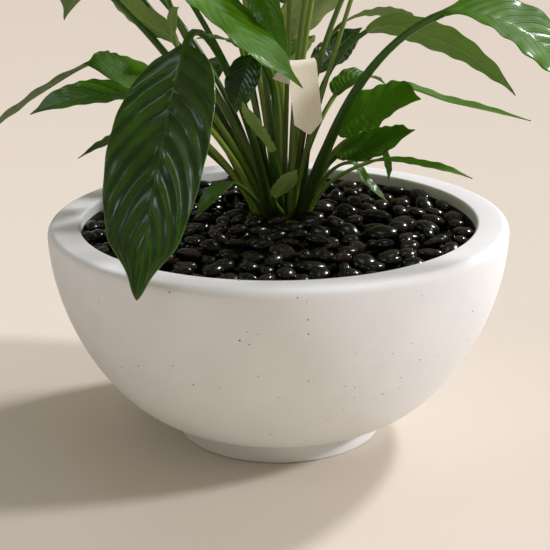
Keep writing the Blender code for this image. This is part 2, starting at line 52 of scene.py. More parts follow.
log = logging.getLogger("peace_lily")

ROOT = "root"
UP = np.array([0.0, 0.0, 1.0])
MM = 0.001


# --- Small helpers -------------------------------------------------------------------------------

def linear(hex_colour: str) -> tuple[float, float, float, float]:
    """Turns an sRGB hex colour into Blender's linear RGBA.

    Args:
        hex_colour: Six hex digits after a hash sign.

    Returns:
        Linear red, green, blue and an alpha of 1.
    """
    parts = [int(hex_colour[place:place + 2], 16) / 255 for place in (1, 3, 5)]
    bright = [part / 12.92 if part <= 0.04045 else ((part + 0.055) / 1.055) ** 2.4 for part in parts]
    return (*bright, 1.0)


def unit(vector: np.ndarray) -> np.ndarray:
    """The vector at length one."""
    return vector / np.linalg.norm(vector)


def smooth(low: float, high: float, value: np.ndarray) -> np.ndarray:
    """A soft step from 0 at low to 1 at high."""
    share = np.clip((value - low) / (high - low), 0, 1)
    return share * share * (3 - 2 * share)


def add_node(tree: bpy.types.NodeTree, kind: str, inputs: dict | None = None,
             stops: tuple = (), span: tuple = (), **settings: object) -> bpy.types.Node:
    """Adds one node to a shader or geometry tree.

    Args:
        tree: The tree that gets the node.
        kind: The node's type name.
        inputs: Values by socket name or index. A node stands for its first live output.
        stops: On a colour ramp, its (position, hex colour) pairs.
        span: On a map range, the two values it reads between and the two it gives there.
        **settings: The node's own properties.

    Returns:
        The new node.
    """
    node = tree.nodes.new(kind)
    for name, value in settings.items():
        setattr(node, name, value)
    for key, value in (inputs or {}).items():
        if isinstance(value, bpy.types.Node):
            value = next(out for out in value.outputs if out.enabled)
        if isinstance(value, bpy.types.NodeSocket):
            tree.links.new(value, node.inputs[key])
        else:
            node.inputs[key].default_value = value
    for key, value in zip(("From Min", "From Max", "To Min", "To Max"), span):
        node.inputs[key].default_value = value
    for place, (position, colour) in enumerate(stops):
        elements = node.color_ramp.elements
        element = elements[place] if place < 2 else elements.new(position)
        element.position = position
        element.color = linear(colour)
    return node


def make_mesh(name: str, points: np.ndarray, faces: list, materials: list,
              slots: np.ndarray | None = None, marks: dict | None = None) -> bpy.types.Object:
    """Makes a smooth-shaded mesh object at the origin.

    Args:
        name: The piece's name.
        points: Its points, in the model's frame.
        faces: Point numbers, a tuple for each face.
        materials: Its materials, in slot order.
        slots: The material slot of each face, where there are several.
        marks: Numbers or vectors at each point, by attribute name.

    Returns:
        The new object.
    """
    mesh = bpy.data.meshes.new(name)
    mesh.from_pydata(points.tolist(), [], faces)
    for finish in materials:
        mesh.materials.append(finish)
    if slots is not None:
        mesh.polygons.foreach_set("material_index", np.asarray(slots, dtype=np.int32))
    for mark, values in (marks or {}).items():
        kind, key = ("FLOAT", "value") if values.ndim == 1 else ("FLOAT_VECTOR", "vector")
        layer = mesh.attributes.new(mark, kind, "POINT")
        layer.data.foreach_set(key, np.asarray(values, dtype=np.float32).ravel())
    mesh.shade_smooth()
    piece = bpy.data.objects.new(name, mesh)
    bpy.context.scene.collection.objects.link(piece)
    return piece


def skin(rings: np.ndarray) -> tuple[np.ndarray, list]:
    """Skins rings of equal counts into a closed body with a pole at each end.

    Args:
        rings: Points as rings by sides by three. Seen from the far end they run clockwise.

    Returns:
        The points, the two poles last, and the faces.
    """
    rows, sides = rings.shape[:2]
    points = np.vstack([rings.reshape(-1, 3), rings[0].mean(0), rings[-1].mean(0)])
    number = np.arange(rows * sides).reshape(rows, sides)
    ahead = np.roll(number, -1, axis=1)
    quads = np.stack([number[:-1], number[1:], ahead[1:], ahead[:-1]], axis=-1).reshape(-1, 4)
    first, last = rows * sides, rows * sides + 1
    faces = [tuple(face) for face in quads.tolist()]
    faces += [(first, int(number[0, side]), int(ahead[0, side])) for side in range(sides)]
    faces += [(last, int(ahead[-1, side]), int(number[-1, side])) for side in range(sides)]
    return points, faces


def outward(piece: bpy.types.Object) -> bpy.types.Object:
    """Turns a closed body's faces outwards where its rings ran the other way."""
    mesh = piece.data
    mesh.calc_loop_triangles()
    points = np.array([vertex.co for vertex in mesh.vertices])
    corners = points[[tuple(face.vertices) for face in mesh.loop_triangles]]
    if np.linalg.det(corners).sum() < 0:
        mesh.flip_normals()
    return piece


def circle(count: int, radius: float = 1.0, height: float = 0.0, turn: float = 0.0) -> np.ndarray:
    """Points round a level circle about the Z axis."""
    angles = np.linspace(0, math.tau, count, endpoint=False) + turn
    return np.stack([radius * np.cos(angles), radius * np.sin(angles), np.full(count, height)], axis=1)


def both_faces(across: np.ndarray) -> tuple[np.ndarray, np.ndarray]:
    """The loop of a thin section: over its upper face and back beneath.

    Args:
        across: Places across the upper face, from -1 to 1.

    Returns:
        The places round the loop, and 1 above, -1 beneath and 0 on the margins, each as one row.
    """
    loop = np.concatenate([across, across[::-1][1:-1]])[None, :]
    above = np.concatenate([np.ones(len(across)), -np.ones(len(across) - 2)])[None, :]
    return loop, np.where(np.abs(loop) > 0.9999, 0.0, above)


def new_tree(name: str, start: str, sizes: tuple, result: str) -> bpy.types.NodeTree:
    """A geometry tree with named sockets: what it starts from, its sizes and its result."""
    tree = bpy.data.node_groups.new(name, "GeometryNodeTree")
    tree.interface.new_socket(start, in_out="INPUT", socket_type="NodeSocketGeometry")
    for size in sizes:
        tree.interface.new_socket(size, in_out="INPUT", socket_type="NodeSocketFloat")
    tree.interface.new_socket(result, in_out="OUTPUT", socket_type="NodeSocketGeometry")
    return tree


def grow(tree: bpy.types.NodeTree, name: str, points: bpy.types.Object,
         sizes: dict, finish: bpy.types.Material) -> bpy.types.Object:
    """Runs a geometry tree on an object and keeps the result as a plain mesh.

    Args:
        tree: The geometry tree.
        name: The finished piece's name.
        points: The object that the tree starts from. It is removed.
        sizes: Values for the tree's named inputs.
        finish: The material in the tree's output, kept on the mesh.

    Returns:
        The finished piece at the origin.
    """
    modifier = points.modifiers.new(name, "NODES")
    modifier.node_group = tree
    for item in tree.interface.items_tree:
        if item.item_type == "SOCKET" and item.in_out == "INPUT" and item.name in sizes:
            modifier[item.identifier] = sizes[item.name]
    graph = bpy.context.evaluated_depsgraph_get()
    mesh = bpy.data.meshes.new_from_object(points.evaluated_get(graph))
    points.modifiers.remove(modifier)
    bpy.data.objects.remove(points, do_unlink=True)
    mesh.name = name
    if not mesh.materials:
        mesh.materials.append(finish)
    piece = bpy.data.objects.new(name, mesh)
    bpy.context.scene.collection.objects.link(piece)
    return piece


def settle(piece: bpy.types.Object, slot: str, *nodes: str) -> None:
    """Declares a finished piece: puts it on the root body and hides the solids it stands for."""
    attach(piece, ROOT)
    if nodes:
        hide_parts(*nodes)
    log.info("%s: %d faces, for %s", piece.name, len(piece.data.polygons), ", ".join(nodes) or "detail")


def dress(node: str, finish: bpy.types.Material) -> None:
    """Gives a solid that stays its material."""
    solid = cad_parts[node]
    if not solid.material_slots:
        solid.data.materials.append(finish)
    for place in solid.material_slots:
        place.material = finish
    log.info("%s: kept, in %s", node, finish.name)


# --- Finishes ------------------------------------------------------------------------------------

@dataclass(frozen=True)
class Finish:
    """One real material. A subclass says what its surface is like."""

    name: str = "finish"

    def surface(self, tree: bpy.types.NodeTree) -> bpy.types.Node:
        """Builds the shader in an empty tree and returns its last node."""
        raise NotImplementedError

    def make(self) -> bpy.types.Material:
        """Makes the material."""
        made = bpy.data.materials.new(self.name)
        made.use_nodes = True
        made.node_tree.nodes.clear()
        add_node(made.node_tree, "ShaderNodeOutputMaterial", {"Surface": self.surface(made.node_tree)})
        return made


@dataclass(frozen=True)
class Mottled(Finish):
    """A matt material of two close tones in mottles, raised a little where it is light."""

    dark: str = "#565142"
    light: str = "#a89f8e"
    ends: tuple = (0.35, 0.65)
    mottle_mm: float = 4.0
    detail: float = 5.0
    breakup: float = 0.5
    relief: float = 0.3
    relief_mm: float = 1.0
    roughness: float = 0.6

    def surface(self, tree: bpy.types.NodeTree) -> bpy.types.Node:
        """One noise sets both the tone and the relief."""
        place = add_node(tree, "ShaderNodeTexCoord").outputs["Object"]
        mottle = add_node(tree, "ShaderNodeTexNoise", {
            "Vector": place, "Scale": 1 / (self.mottle_mm * MM), "Detail": self.detail,
            "Roughness": self.breakup}).outputs["Fac"]
        tone = add_node(tree, "ShaderNodeValToRGB", {"Fac": mottle},
                        stops=tuple(zip(self.ends, (self.dark, self.light))))
        bump = add_node(tree, "ShaderNodeBump", {
            "Height": mottle, "Strength": self.relief, "Distance": self.relief_mm * MM})
        return add_node(tree, "ShaderNodeBsdfPrincipled", {
            "Base Color": tone, "Roughness": self.roughness, "Normal": bump})


@dataclass(frozen=True)
class FibreCement(Finish):
    """Cast and sanded fibre cement: matt, chalky white, with a few open air holes."""

    name: str = "white_fibre_cement"
    light: str = "#eceded"
    dull: str = "#e6e7e7"
    hole: str = "#4a4038"
    cloud_mm: float = 60.0
    hole_every_mm: float = 8.0
    grain_mm: float = 1.6
    roughness: float = 0.78

    def surface(self, tree: bpy.types.NodeTree) -> bpy.types.Node:
        """Soft clouds of tone, pinholes and a fine sanded grain."""
        place = add_node(tree, "ShaderNodeTexCoord").outputs["Object"]
        cloud = add_node(tree, "ShaderNodeTexNoise", {
            "Vector": place, "Scale": 1 / (self.cloud_mm * MM), "Detail": 7.0, "Roughness": 0.62})
        tone = add_node(tree, "ShaderNodeValToRGB", {"Fac": cloud.outputs["Fac"]},
                        stops=((0.30, self.dull), (0.62, self.light)))
        cells = add_node(tree, "ShaderNodeTexVoronoi", {
            "Vector": place, "Scale": 1 / (self.hole_every_mm * MM), "Randomness": 1.0})
        pick = add_node(tree, "ShaderNodeSeparateColor", {"Color": cells.outputs["Color"]})
        reach = add_node(tree, "ShaderNodeMapRange", {"Value": pick.outputs["Red"]},
                         span=(0.45, 1.0, 0.0, 0.10))
        pit = add_node(tree, "ShaderNodeMath", {0: cells.outputs["Distance"], 1: reach},
                       operation="LESS_THAN")
        colour = add_node(tree, "ShaderNodeMix", {0: pit, 6: tone, 7: linear(self.hole)}, data_type="RGBA")
        grain = add_node(tree, "ShaderNodeTexNoise", {
            "Vector": place, "Scale": 1 / (self.grain_mm * MM), "Detail": 4.0})
        height = add_node(tree, "ShaderNodeMath", {0: pit, 1: -2.5, 2: grain.outputs["Fac"]},
                          operation="MULTIPLY_ADD")
        bump = add_node(tree, "ShaderNodeBump", {
            "Height": height, "Strength": 0.16, "Distance": 0.6 * MM})
        return add_node(tree, "ShaderNodeBsdfPrincipled", {
            "Base Color": colour, "Roughness": self.roughness, "Specular IOR Level": 0.35,
            "Normal": bump})


@dataclass(frozen=True)
class SealedCement(Mottled):
    """The bowl's inner wall under the rim: cement darkened by a brushed-on sealer and by damp."""

    name: str = "sealed_cement"
    dark: str = "#2b2a22"
    light: str = "#565142"
    ends: tuple = (0.38, 0.75)
    mottle_mm: float = 22.0
    detail: float = 6.0
    breakup: float = 0.7
    roughness: float = 0.55


@dataclass(frozen=True)
class PolishedPebble(Finish):
    """Tumbled and waxed black river stones: near black, with small sharp glints."""

    name: str = "polished_black_pebble"
    black: str = "#070605"
    brown: str = "#2c221a"
    grain_mm: float = 7.0
    roughness: float = 0.19

    def surface(self, tree: bpy.types.NodeTree) -> bpy.types.Node:
        """Each stone has its own tone, under faint veins and tumbling marks."""
        place = add_node(tree, "ShaderNodeTexCoord").outputs["Object"]
        own = add_node(tree, "ShaderNodeAttribute", attribute_name="shade").outputs["Fac"]
        grain = add_node(tree, "ShaderNodeTexNoise", {
            "Vector": place, "Scale": 1 / (self.grain_mm * MM), "Detail": 5.0,
            "Roughness": 0.6}).outputs["Fac"]
        blend = add_node(tree, "ShaderNodeMath", {0: own, 1: grain}, operation="MULTIPLY")
        tone = add_node(tree, "ShaderNodeValToRGB", {"Fac": blend},
                        stops=((0.10, self.black), (0.62, self.brown)))
        rough = add_node(tree, "ShaderNodeMapRange", {"Value": grain},
                         span=(0.0, 1.0, self.roughness - 0.07, self.roughness + 0.16))
        bump = add_node(tree, "ShaderNodeBump", {"Height": grain, "Strength": 0.12, "Distance": 0.8 * MM})
        return add_node(tree, "ShaderNodeBsdfPrincipled", {
            "Base Color": tone, "Roughness": rough, "Specular IOR Level": 0.45, "Coat Weight": 0.35,
            "Coat Roughness": 0.06, "Normal": bump})


@dataclass(frozen=True)
class LooseFill(Finish):
    """A loose natural fill, such as soil, gravel or a mat of roots."""

    low: str = "#17100a"
    high: str = "#3f2c1c"
    lump_mm: float = 6.0
    stretch: float = 1.0
    roughness: float = 0.92

    def surface(self, tree: bpy.types.NodeTree) -> bpy.types.Node:
        """Lumps of two tones with a rough, broken surface."""
        place = add_node(tree, "ShaderNodeTexCoord").outputs["Object"]
        drawn = add_node(tree, "ShaderNodeMapping", {
            "Vector": place, "Scale": (self.stretch, self.stretch, 1.0)})
        lump = add_node(tree, "ShaderNodeTexVoronoi", {
            "Vector": drawn, "Scale": 1 / (self.lump_mm * MM)})
        dust = add_node(tree, "ShaderNodeTexNoise", {
            "Vector": drawn, "Scale": 3 / (self.lump_mm * MM), "Detail": 6.0})
        mixed = add_node(tree, "ShaderNodeMath", {
            0: lump.outputs["Distance"], 1: dust.outputs["Fac"]}, operation="MULTIPLY")
        tone = add_node(tree, "ShaderNodeValToRGB", {"Fac": mixed},
                        stops=((0.08, self.low), (0.55, self.high)))
        bump = add_node(tree, "ShaderNodeBump", {
            "Height": mixed, "Strength": 0.9, "Distance": 0.3 * self.lump_mm * MM})
        return add_node(tree, "ShaderNodeBsdfPrincipled", {
            "Base Color": tone, "Roughness": self.roughness, "Normal": bump})


def ripple(tree: bpy.types.NodeTree, vein: bpy.types.NodeSocket, count: float = 1.0) -> bpy.types.Node:
    """A rounded swell that falls to 0 on each vein, the given number of times from one to the next."""
    turn = add_node(tree, "ShaderNodeMath", {0: vein, 1: math.pi * count}, operation="MULTIPLY")
    wave = add_node(tree, "ShaderNodeMath", {0: turn}, operation="SINE")
    return add_node(tree, "ShaderNodeMath", {0: wave}, operation="ABSOLUTE")


@dataclass(frozen=True)
class LeafSkin(Finish):
    """Living leaf, one side of the blade: waxy above, paler and duller beneath.

    It reads what each point knows: how far along the blade it is, how far in millimetres from the
    midrib and from the margin, its place between two side veins, and the leaf's age.
    """

    name: str = "leaf_upper_side"
    old: str = "#163005"
    young: str = "#5e9412"
    rib: str = "#4c6c2e"
    # The margin tint is a painted sheen along the leaf's edge.
    margin: str = "#9aae52"
    dry_tip: str = "#6a4420"
    glow: str = "#9ad010"
    patch_mm: float = 26.0
    pore_mm: float = 2.2
    vein_shade: float = 0.12
    vein_bump: float = 0.5
    roughness: float = 0.25
    specular: float = 0.70
    coat: float = 0.80
    through: float = 0.42

    def green(self, tree: bpy.types.NodeTree, age: bpy.types.NodeSocket, vein: bpy.types.NodeSocket,
              patch: bpy.types.NodeSocket) -> bpy.types.Node:
        """The tissue's green: darker with age and patchy, with painted light and shade in faint bands between
        the veins.
        """
        uneven = add_node(tree, "ShaderNodeMath", {0: patch, 1: 0.5}, operation="SUBTRACT")
        patched = add_node(tree, "ShaderNodeMath", {0: uneven, 1: 0.75, 2: age}, operation="MULTIPLY_ADD")
        # Painted light and shade: each gap between two veins is lighter on one half and darker on the other.
        turn = add_node(tree, "ShaderNodeMath", {0: vein, 1: math.tau}, operation="MULTIPLY")
        painted_light_band = add_node(tree, "ShaderNodeMath", {0: turn}, operation="SINE")
        painted_light_banded = add_node(tree, "ShaderNodeMath", {0: painted_light_band, 1: patch}, operation="MULTIPLY")
        aged_with_painted_bands = add_node(tree, "ShaderNodeMath", {0: painted_light_banded, 1: 0.2, 2: patched}, operation="MULTIPLY_ADD",
                        use_clamp=True)
        return add_node(tree, "ShaderNodeMix", {
            0: aged_with_painted_bands, 6: linear(self.young), 7: linear(self.old)}, data_type="RGBA")

    def grooved(self, tree: bpy.types.NodeTree, vein: bpy.types.NodeSocket) -> bpy.types.Node:
        """How proud the tissue stands between the main side veins and the four fine ones in each gap."""
        main, fine = (
            add_node(tree, "ShaderNodeMath", {0: ripple(tree, vein, count), 1: keen}, operation="POWER")
            for count, keen in ((1.0, 0.45), (4.0, 0.8)))
        return add_node(tree, "ShaderNodeMath", {0: fine, 1: 0.35, 2: main}, operation="MULTIPLY_ADD")

    def surface(self, tree: bpy.types.NodeTree) -> bpy.types.Node:
        """Age sets the green, painted light bands it between the veins, veins groove it, the rib is pale, a
        painted sheen lightens the margin, light glows through.
        """
        place = add_node(tree, "ShaderNodeTexCoord").outputs["Object"]
        blade = add_node(tree, "ShaderNodeAttribute", attribute_name="blade").outputs["Vector"]
        along, from_rib, from_edge = add_node(tree, "ShaderNodeSeparateXYZ", {"Vector": blade}).outputs
        age = add_node(tree, "ShaderNodeAttribute", attribute_name="age").outputs["Fac"]
        vein = add_node(tree, "ShaderNodeAttribute", attribute_name="vein").outputs["Fac"]
        patch = add_node(tree, "ShaderNodeTexNoise", {
            "Vector": place, "Scale": 1 / (self.patch_mm * MM), "Detail": 4.0,
            "Roughness": 0.55}).outputs["Fac"]
        groove = self.grooved(tree, vein)
        taper = add_node(tree, "ShaderNodeMath", {0: along, 1: 2.4, 2: 0.6}, operation="MULTIPLY_ADD")
        drawn_in = add_node(tree, "ShaderNodeMath", {0: from_rib, 1: taper}, operation="MULTIPLY")
        # Over the green come the side veins, the midrib, a painted sheen along the margin and the dry tip.
        colour = self.green(tree, age, vein, patch)
        for value, span, tint in (
                (groove, (0.0, 1.2, self.vein_shade, 0.0), self.rib),
                (drawn_in, (0.4, 1.7, 0.7, 0.0), self.rib),
                # Painted sheen: the margin tint along the edge.
                (from_edge, (0.15, 0.9, 0.65, 0.0), self.margin),
                (along, (0.975, 0.992, 0.0, 0.9), self.dry_tip)):
            share = add_node(tree, "ShaderNodeMapRange", {"Value": value}, span=span)
            colour = add_node(tree, "ShaderNodeMix", {0: share, 6: colour, 7: linear(tint)},
                              data_type="RGBA")
        pores = add_node(tree, "ShaderNodeTexNoise", {
            "Vector": place, "Scale": 1 / (self.pore_mm * MM), "Detail": 3.0})
        height = add_node(tree, "ShaderNodeMath", {0: pores.outputs["Fac"], 1: 0.22, 2: groove},
                          operation="MULTIPLY_ADD")
        bump = add_node(tree, "ShaderNodeBump", {
            "Height": height, "Strength": self.vein_bump, "Distance": 0.5 * MM})
        # Wax builds up with age: young leaves are satin, old ones shine.
        satin, wax, shine = (
            add_node(tree, "ShaderNodeMapRange", {"Value": age}, span=(0.2, 0.8, *ends))
            for ends in ((0.28, 0.0), (0.0, self.coat), (0.20, self.specular)))
        worn = add_node(tree, "ShaderNodeMapRange", {"Value": patch},
                        span=(0.0, 1.0, self.roughness - 0.06, self.roughness + 0.10))
        rough = add_node(tree, "ShaderNodeMath", {0: satin, 1: worn}, operation="ADD")
        front = add_node(tree, "ShaderNodeBsdfPrincipled", {
            "Base Color": colour, "Roughness": rough, "Specular IOR Level": shine,
            "Coat Weight": wax, "Coat Roughness": 0.12, "Normal": bump})
        lit = add_node(tree, "ShaderNodeMix", {
            0: 0.55, 6: colour, 7: linear(self.glow)}, data_type="RGBA")
        back = add_node(tree, "ShaderNodeBsdfTranslucent", {"Color": lit, "Normal": bump})
        return add_node(tree, "ShaderNodeMixShader", {0: self.through, 1: front, 2: back})


@dataclass(frozen=True)
class StalkSkin(Finish):
    """Leaf and flower stalks: smooth and waxy, some paler than others, darkened with painted shade, most at
    the foot.
    """

    name: str = "stalk_skin"
    # The foot, body and top tones are darkened as painted shade of the clump, most at the foot.
    foot: str = "#2c3a12"
    body: str = "#2a4f0d"
    top: str = "#336410"
    streak: str = "#5f7c2a"
    pale: str = "#a3bc4c"
    streak_mm: float = 1.1
    roughness: float = 0.36

    def surface(self, tree: bpy.types.NodeTree) -> bpy.types.Node:
        """A green with painted shade that is darkest at the foot, with fine lengthwise streaks."""
        place = add_node(tree, "ShaderNodeTexCoord").outputs["Object"]
        blade = add_node(tree, "ShaderNodeAttribute", attribute_name="blade").outputs["Vector"]
        along = add_node(tree, "ShaderNodeSeparateXYZ", {"Vector": blade}).outputs["X"]
        rise = add_node(tree, "ShaderNodeMath", {0: along, 1: 1.0}, operation="ADD")
        # Painted shade: the ramp is darkest at the foot and lightens up the stalk.
        tone = add_node(tree, "ShaderNodeValToRGB", {"Fac": rise},
                        stops=((0.02, self.foot), (0.98, self.top), (0.45, self.body)))
        drawn = add_node(tree, "ShaderNodeMapping", {"Vector": place, "Scale": (1.0, 1.0, 0.05)})
        lines = add_node(tree, "ShaderNodeTexNoise", {
            "Vector": drawn, "Scale": 1 / (self.streak_mm * MM), "Detail": 3.0}).outputs["Fac"]
        faint = add_node(tree, "ShaderNodeMapRange", {"Value": lines}, span=(0.48, 0.72, 0.0, 0.3))
        own = add_node(tree, "ShaderNodeAttribute", attribute_name="paleness").outputs["Fac"]
        toned = add_node(tree, "ShaderNodeMix", {0: own, 6: tone, 7: linear(self.pale)}, data_type="RGBA")
        colour = add_node(tree, "ShaderNodeMix", {
            0: faint, 6: toned, 7: linear(self.streak)}, data_type="RGBA")
        bump = add_node(tree, "ShaderNodeBump", {
            "Height": lines, "Strength": 0.25, "Distance": 0.4 * MM})
        return add_node(tree, "ShaderNodeBsdfPrincipled", {
            "Base Color": colour, "Roughness": self.roughness, "Subsurface Weight": 0.1,
            "Subsurface Radius": (0.002, 0.004, 0.001), "Normal": bump})


@dataclass(frozen=True)
class Card(Mottled):
    """Uncoated cream card: matt, with a faint fibre."""

    name: str = "cream_card"
    dark: str = "#e8e0cb"
    light: str = "#eee7d3"
    mottle_mm: float = 2.5
    relief: float = 0.03
    relief_mm: float = 0.05
    roughness: float = 0.62


@dataclass(frozen=True)
class SpatheTissue(Finish):
    """The white hood of a flower: soft, matt and thin enough for light to pass."""

    name: str = "spathe_tissue"
    white: str = "#f1f1e4"
    green: str = "#b9c98c"
    through: float = 0.35

    def surface(self, tree: bpy.types.NodeTree) -> bpy.types.Node:
        """White with greenish veins, rib and tip."""
        blade = add_node(tree, "ShaderNodeAttribute", attribute_name="blade").outputs["Vector"]
        along, from_rib, _ = add_node(tree, "ShaderNodeSeparateXYZ", {"Vector": blade}).outputs
        vein = add_node(tree, "ShaderNodeAttribute", attribute_name="vein").outputs["Fac"]
        swell = ripple(tree, vein)
        line, rib, tip = (
            add_node(tree, "ShaderNodeMapRange", {"Value": value}, span=span) for value, span in (
                (swell, (0.0, 0.5, 0.45, 0.0)), (from_rib, (0.6, 2.6, 0.8, 0.0)),
                (along, (0.82, 1.0, 0.0, 0.9))))
        most = add_node(tree, "ShaderNodeMath", {0: line, 1: rib}, operation="MAXIMUM")
        green = add_node(tree, "ShaderNodeMath", {0: most, 1: tip}, operation="MAXIMUM")
        colour = add_node(tree, "ShaderNodeMix", {
            0: green, 6: linear(self.white), 7: linear(self.green)}, data_type="RGBA")
        bump = add_node(tree, "ShaderNodeBump", {"Height": swell, "Strength": 0.25, "Distance": 0.4 * MM})
        front = add_node(tree, "ShaderNodeBsdfPrincipled", {
            "Base Color": colour, "Roughness": 0.5, "Normal": bump})
        back = add_node(tree, "ShaderNodeBsdfTranslucent", {"Color": colour, "Normal": bump})
        return add_node(tree, "ShaderNodeMixShader", {0: self.through, 1: front, 2: back})


@dataclass(frozen=True)
class SpadixTissue(Mottled):
    """The flower's cream spike of tiny packed florets: greener in patches, with a pollen grain."""

    name: str = "spadix_tissue"
    dark: str = "#b7bd6c"
    light: str = "#e6dcae"
    ends: tuple = (0.35, 0.58)
    detail: float = 6.0
    relief: float = 0.4
    relief_mm: float = 0.4
    roughness: float = 0.75


@dataclass(frozen=True)
class PlainSweep(Finish):
    """A studio's plain painted floor, pale and matt."""

    name: str = "studio_floor"
    colour: str = "#d6cec0"

    def surface(self, tree: bpy.types.NodeTree) -> bpy.types.Node:
        """One matt tone."""
        return add_node(tree, "ShaderNodeBsdfPrincipled", {
            "Base Color": linear(self.colour), "Roughness": 0.85, "Specular IOR Level": 0.2})


# --- Planter bowl and what fills it --------------------------------------------------------------

def curve_through(corners: tuple, count: int) -> np.ndarray:
    """Points along a cubic curve through its four corners, in radius and height."""
    along = np.linspace(0, 1, count)[:, None]
    a, b, c, d = (np.array(corner) for corner in corners)
    back = 1 - along
    return back**3 * a + 3 * back**2 * along * b + 3 * back * along**2 * c + along**3 * d


def arc(centre: tuple, radius: float, start: float, stop: float, count: int) -> np.ndarray:
    """Points round an arc in radius and height, its angles in degrees."""
    angles = np.radians(np.linspace(start, stop, count))
    return np.stack([centre[0] + radius * np.cos(angles), centre[1] + radius * np.sin(angles)], axis=1)


@dataclass
class PlanterBowl:
    """The low round bowl, turned from one profile."""

    radius: float = 0.215
    height: float = 0.208
    rim_width: float = 0.030
    outer_round: float = 0.0075
    inner_round: float = 0.0030
    foot_radius: float = 0.0985
    foot_height: float = 0.021
    foot_flare: float = 0.0033
    foot_round: float = 0.0012
    floor_thickness: float = 0.026
    floor_flat: float = 0.070
    floor_edge: float = 0.086
    floor_rise: float = 0.010
    outer_swell: float = 0.47
    inner_swell: float = 0.50
    wall_turn: float = 0.52
    wall_draft: float = 0.0015
    sides: int = 192

    def outer_wall(self) -> np.ndarray:
        """The outer side from the foot's seam up to the rim's rounding."""
        seam = self.foot_radius + self.foot_flare
        top = self.height - self.outer_round
        span = top - self.foot_height
        return curve_through((
            (seam, self.foot_height),
            (seam + self.outer_swell * (self.radius - seam), self.foot_height + 0.035 * span),
            (self.radius - self.wall_draft, self.foot_height + self.wall_turn * span),
            (self.radius, top)), 48)

    def inner_wall(self) -> np.ndarray:
        """The inner side from the floor's edge up to the rim."""
        rim = self.radius - self.rim_width
        top = self.height - self.inner_round
        return curve_through((
            (self.floor_edge, self.floor_thickness + self.floor_rise),
            (self.floor_edge + self.inner_swell * (rim - self.floor_edge),
             self.floor_thickness + 1.6 * self.floor_rise),
            (rim - self.wall_draft, self.floor_thickness + self.wall_turn * (top - self.floor_thickness)),
            (rim, top)), 36)

    def build(self) -> bpy.types.Object:
        """Turns the profile. The inner wall below the rim is sealed dark."""
        rim_in = self.radius - self.rim_width
        round_in = (rim_in + self.inner_round, self.height - self.inner_round)
        round_out = (self.radius - self.outer_round, self.height - self.outer_round)
        foot = arc((self.foot_radius - self.foot_round, self.foot_round), self.foot_round, -90, 0, 5)
        parts = [
            foot,
            self.outer_wall(),
            arc(round_out, self.outer_round, 0, 90, 10)[1:],
            arc(round_in, self.inner_round, 90, 180, 7),
            self.inner_wall()[::-1][1:],
            np.array([(self.floor_flat, self.floor_thickness)]),
        ]
        profile = np.vstack(parts)
        rim_end = sum(len(part) for part in parts[:4])
        rings = np.stack([circle(self.sides, radius, height) for radius, height in profile])
        points, faces = skin(rings)
        rows = len(profile) - 1
        slots = np.zeros(len(faces))
        slots[rim_end * self.sides:rows * self.sides] = 1
        slots[-self.sides:] = 1
        piece = make_mesh("bowl_shell", points, faces, [FibreCement().make(), SealedCement().make()], slots)
        piece.data.set_sharp_from_angle(angle=math.radians(50))
        settle(outward(piece), "bowl", "planter_bowl")
        return piece


@dataclass(frozen=True)
class Rest:
    """Where a stone lies when it is let down on the bed at one place.

    Proud is how far its top stands over the bed's limit, and top is its upper side over the window
    of the bed that it was tried on.
    """

    proud: float
    place: tuple
    spin: float
    window: tuple
    top: np.ndarray


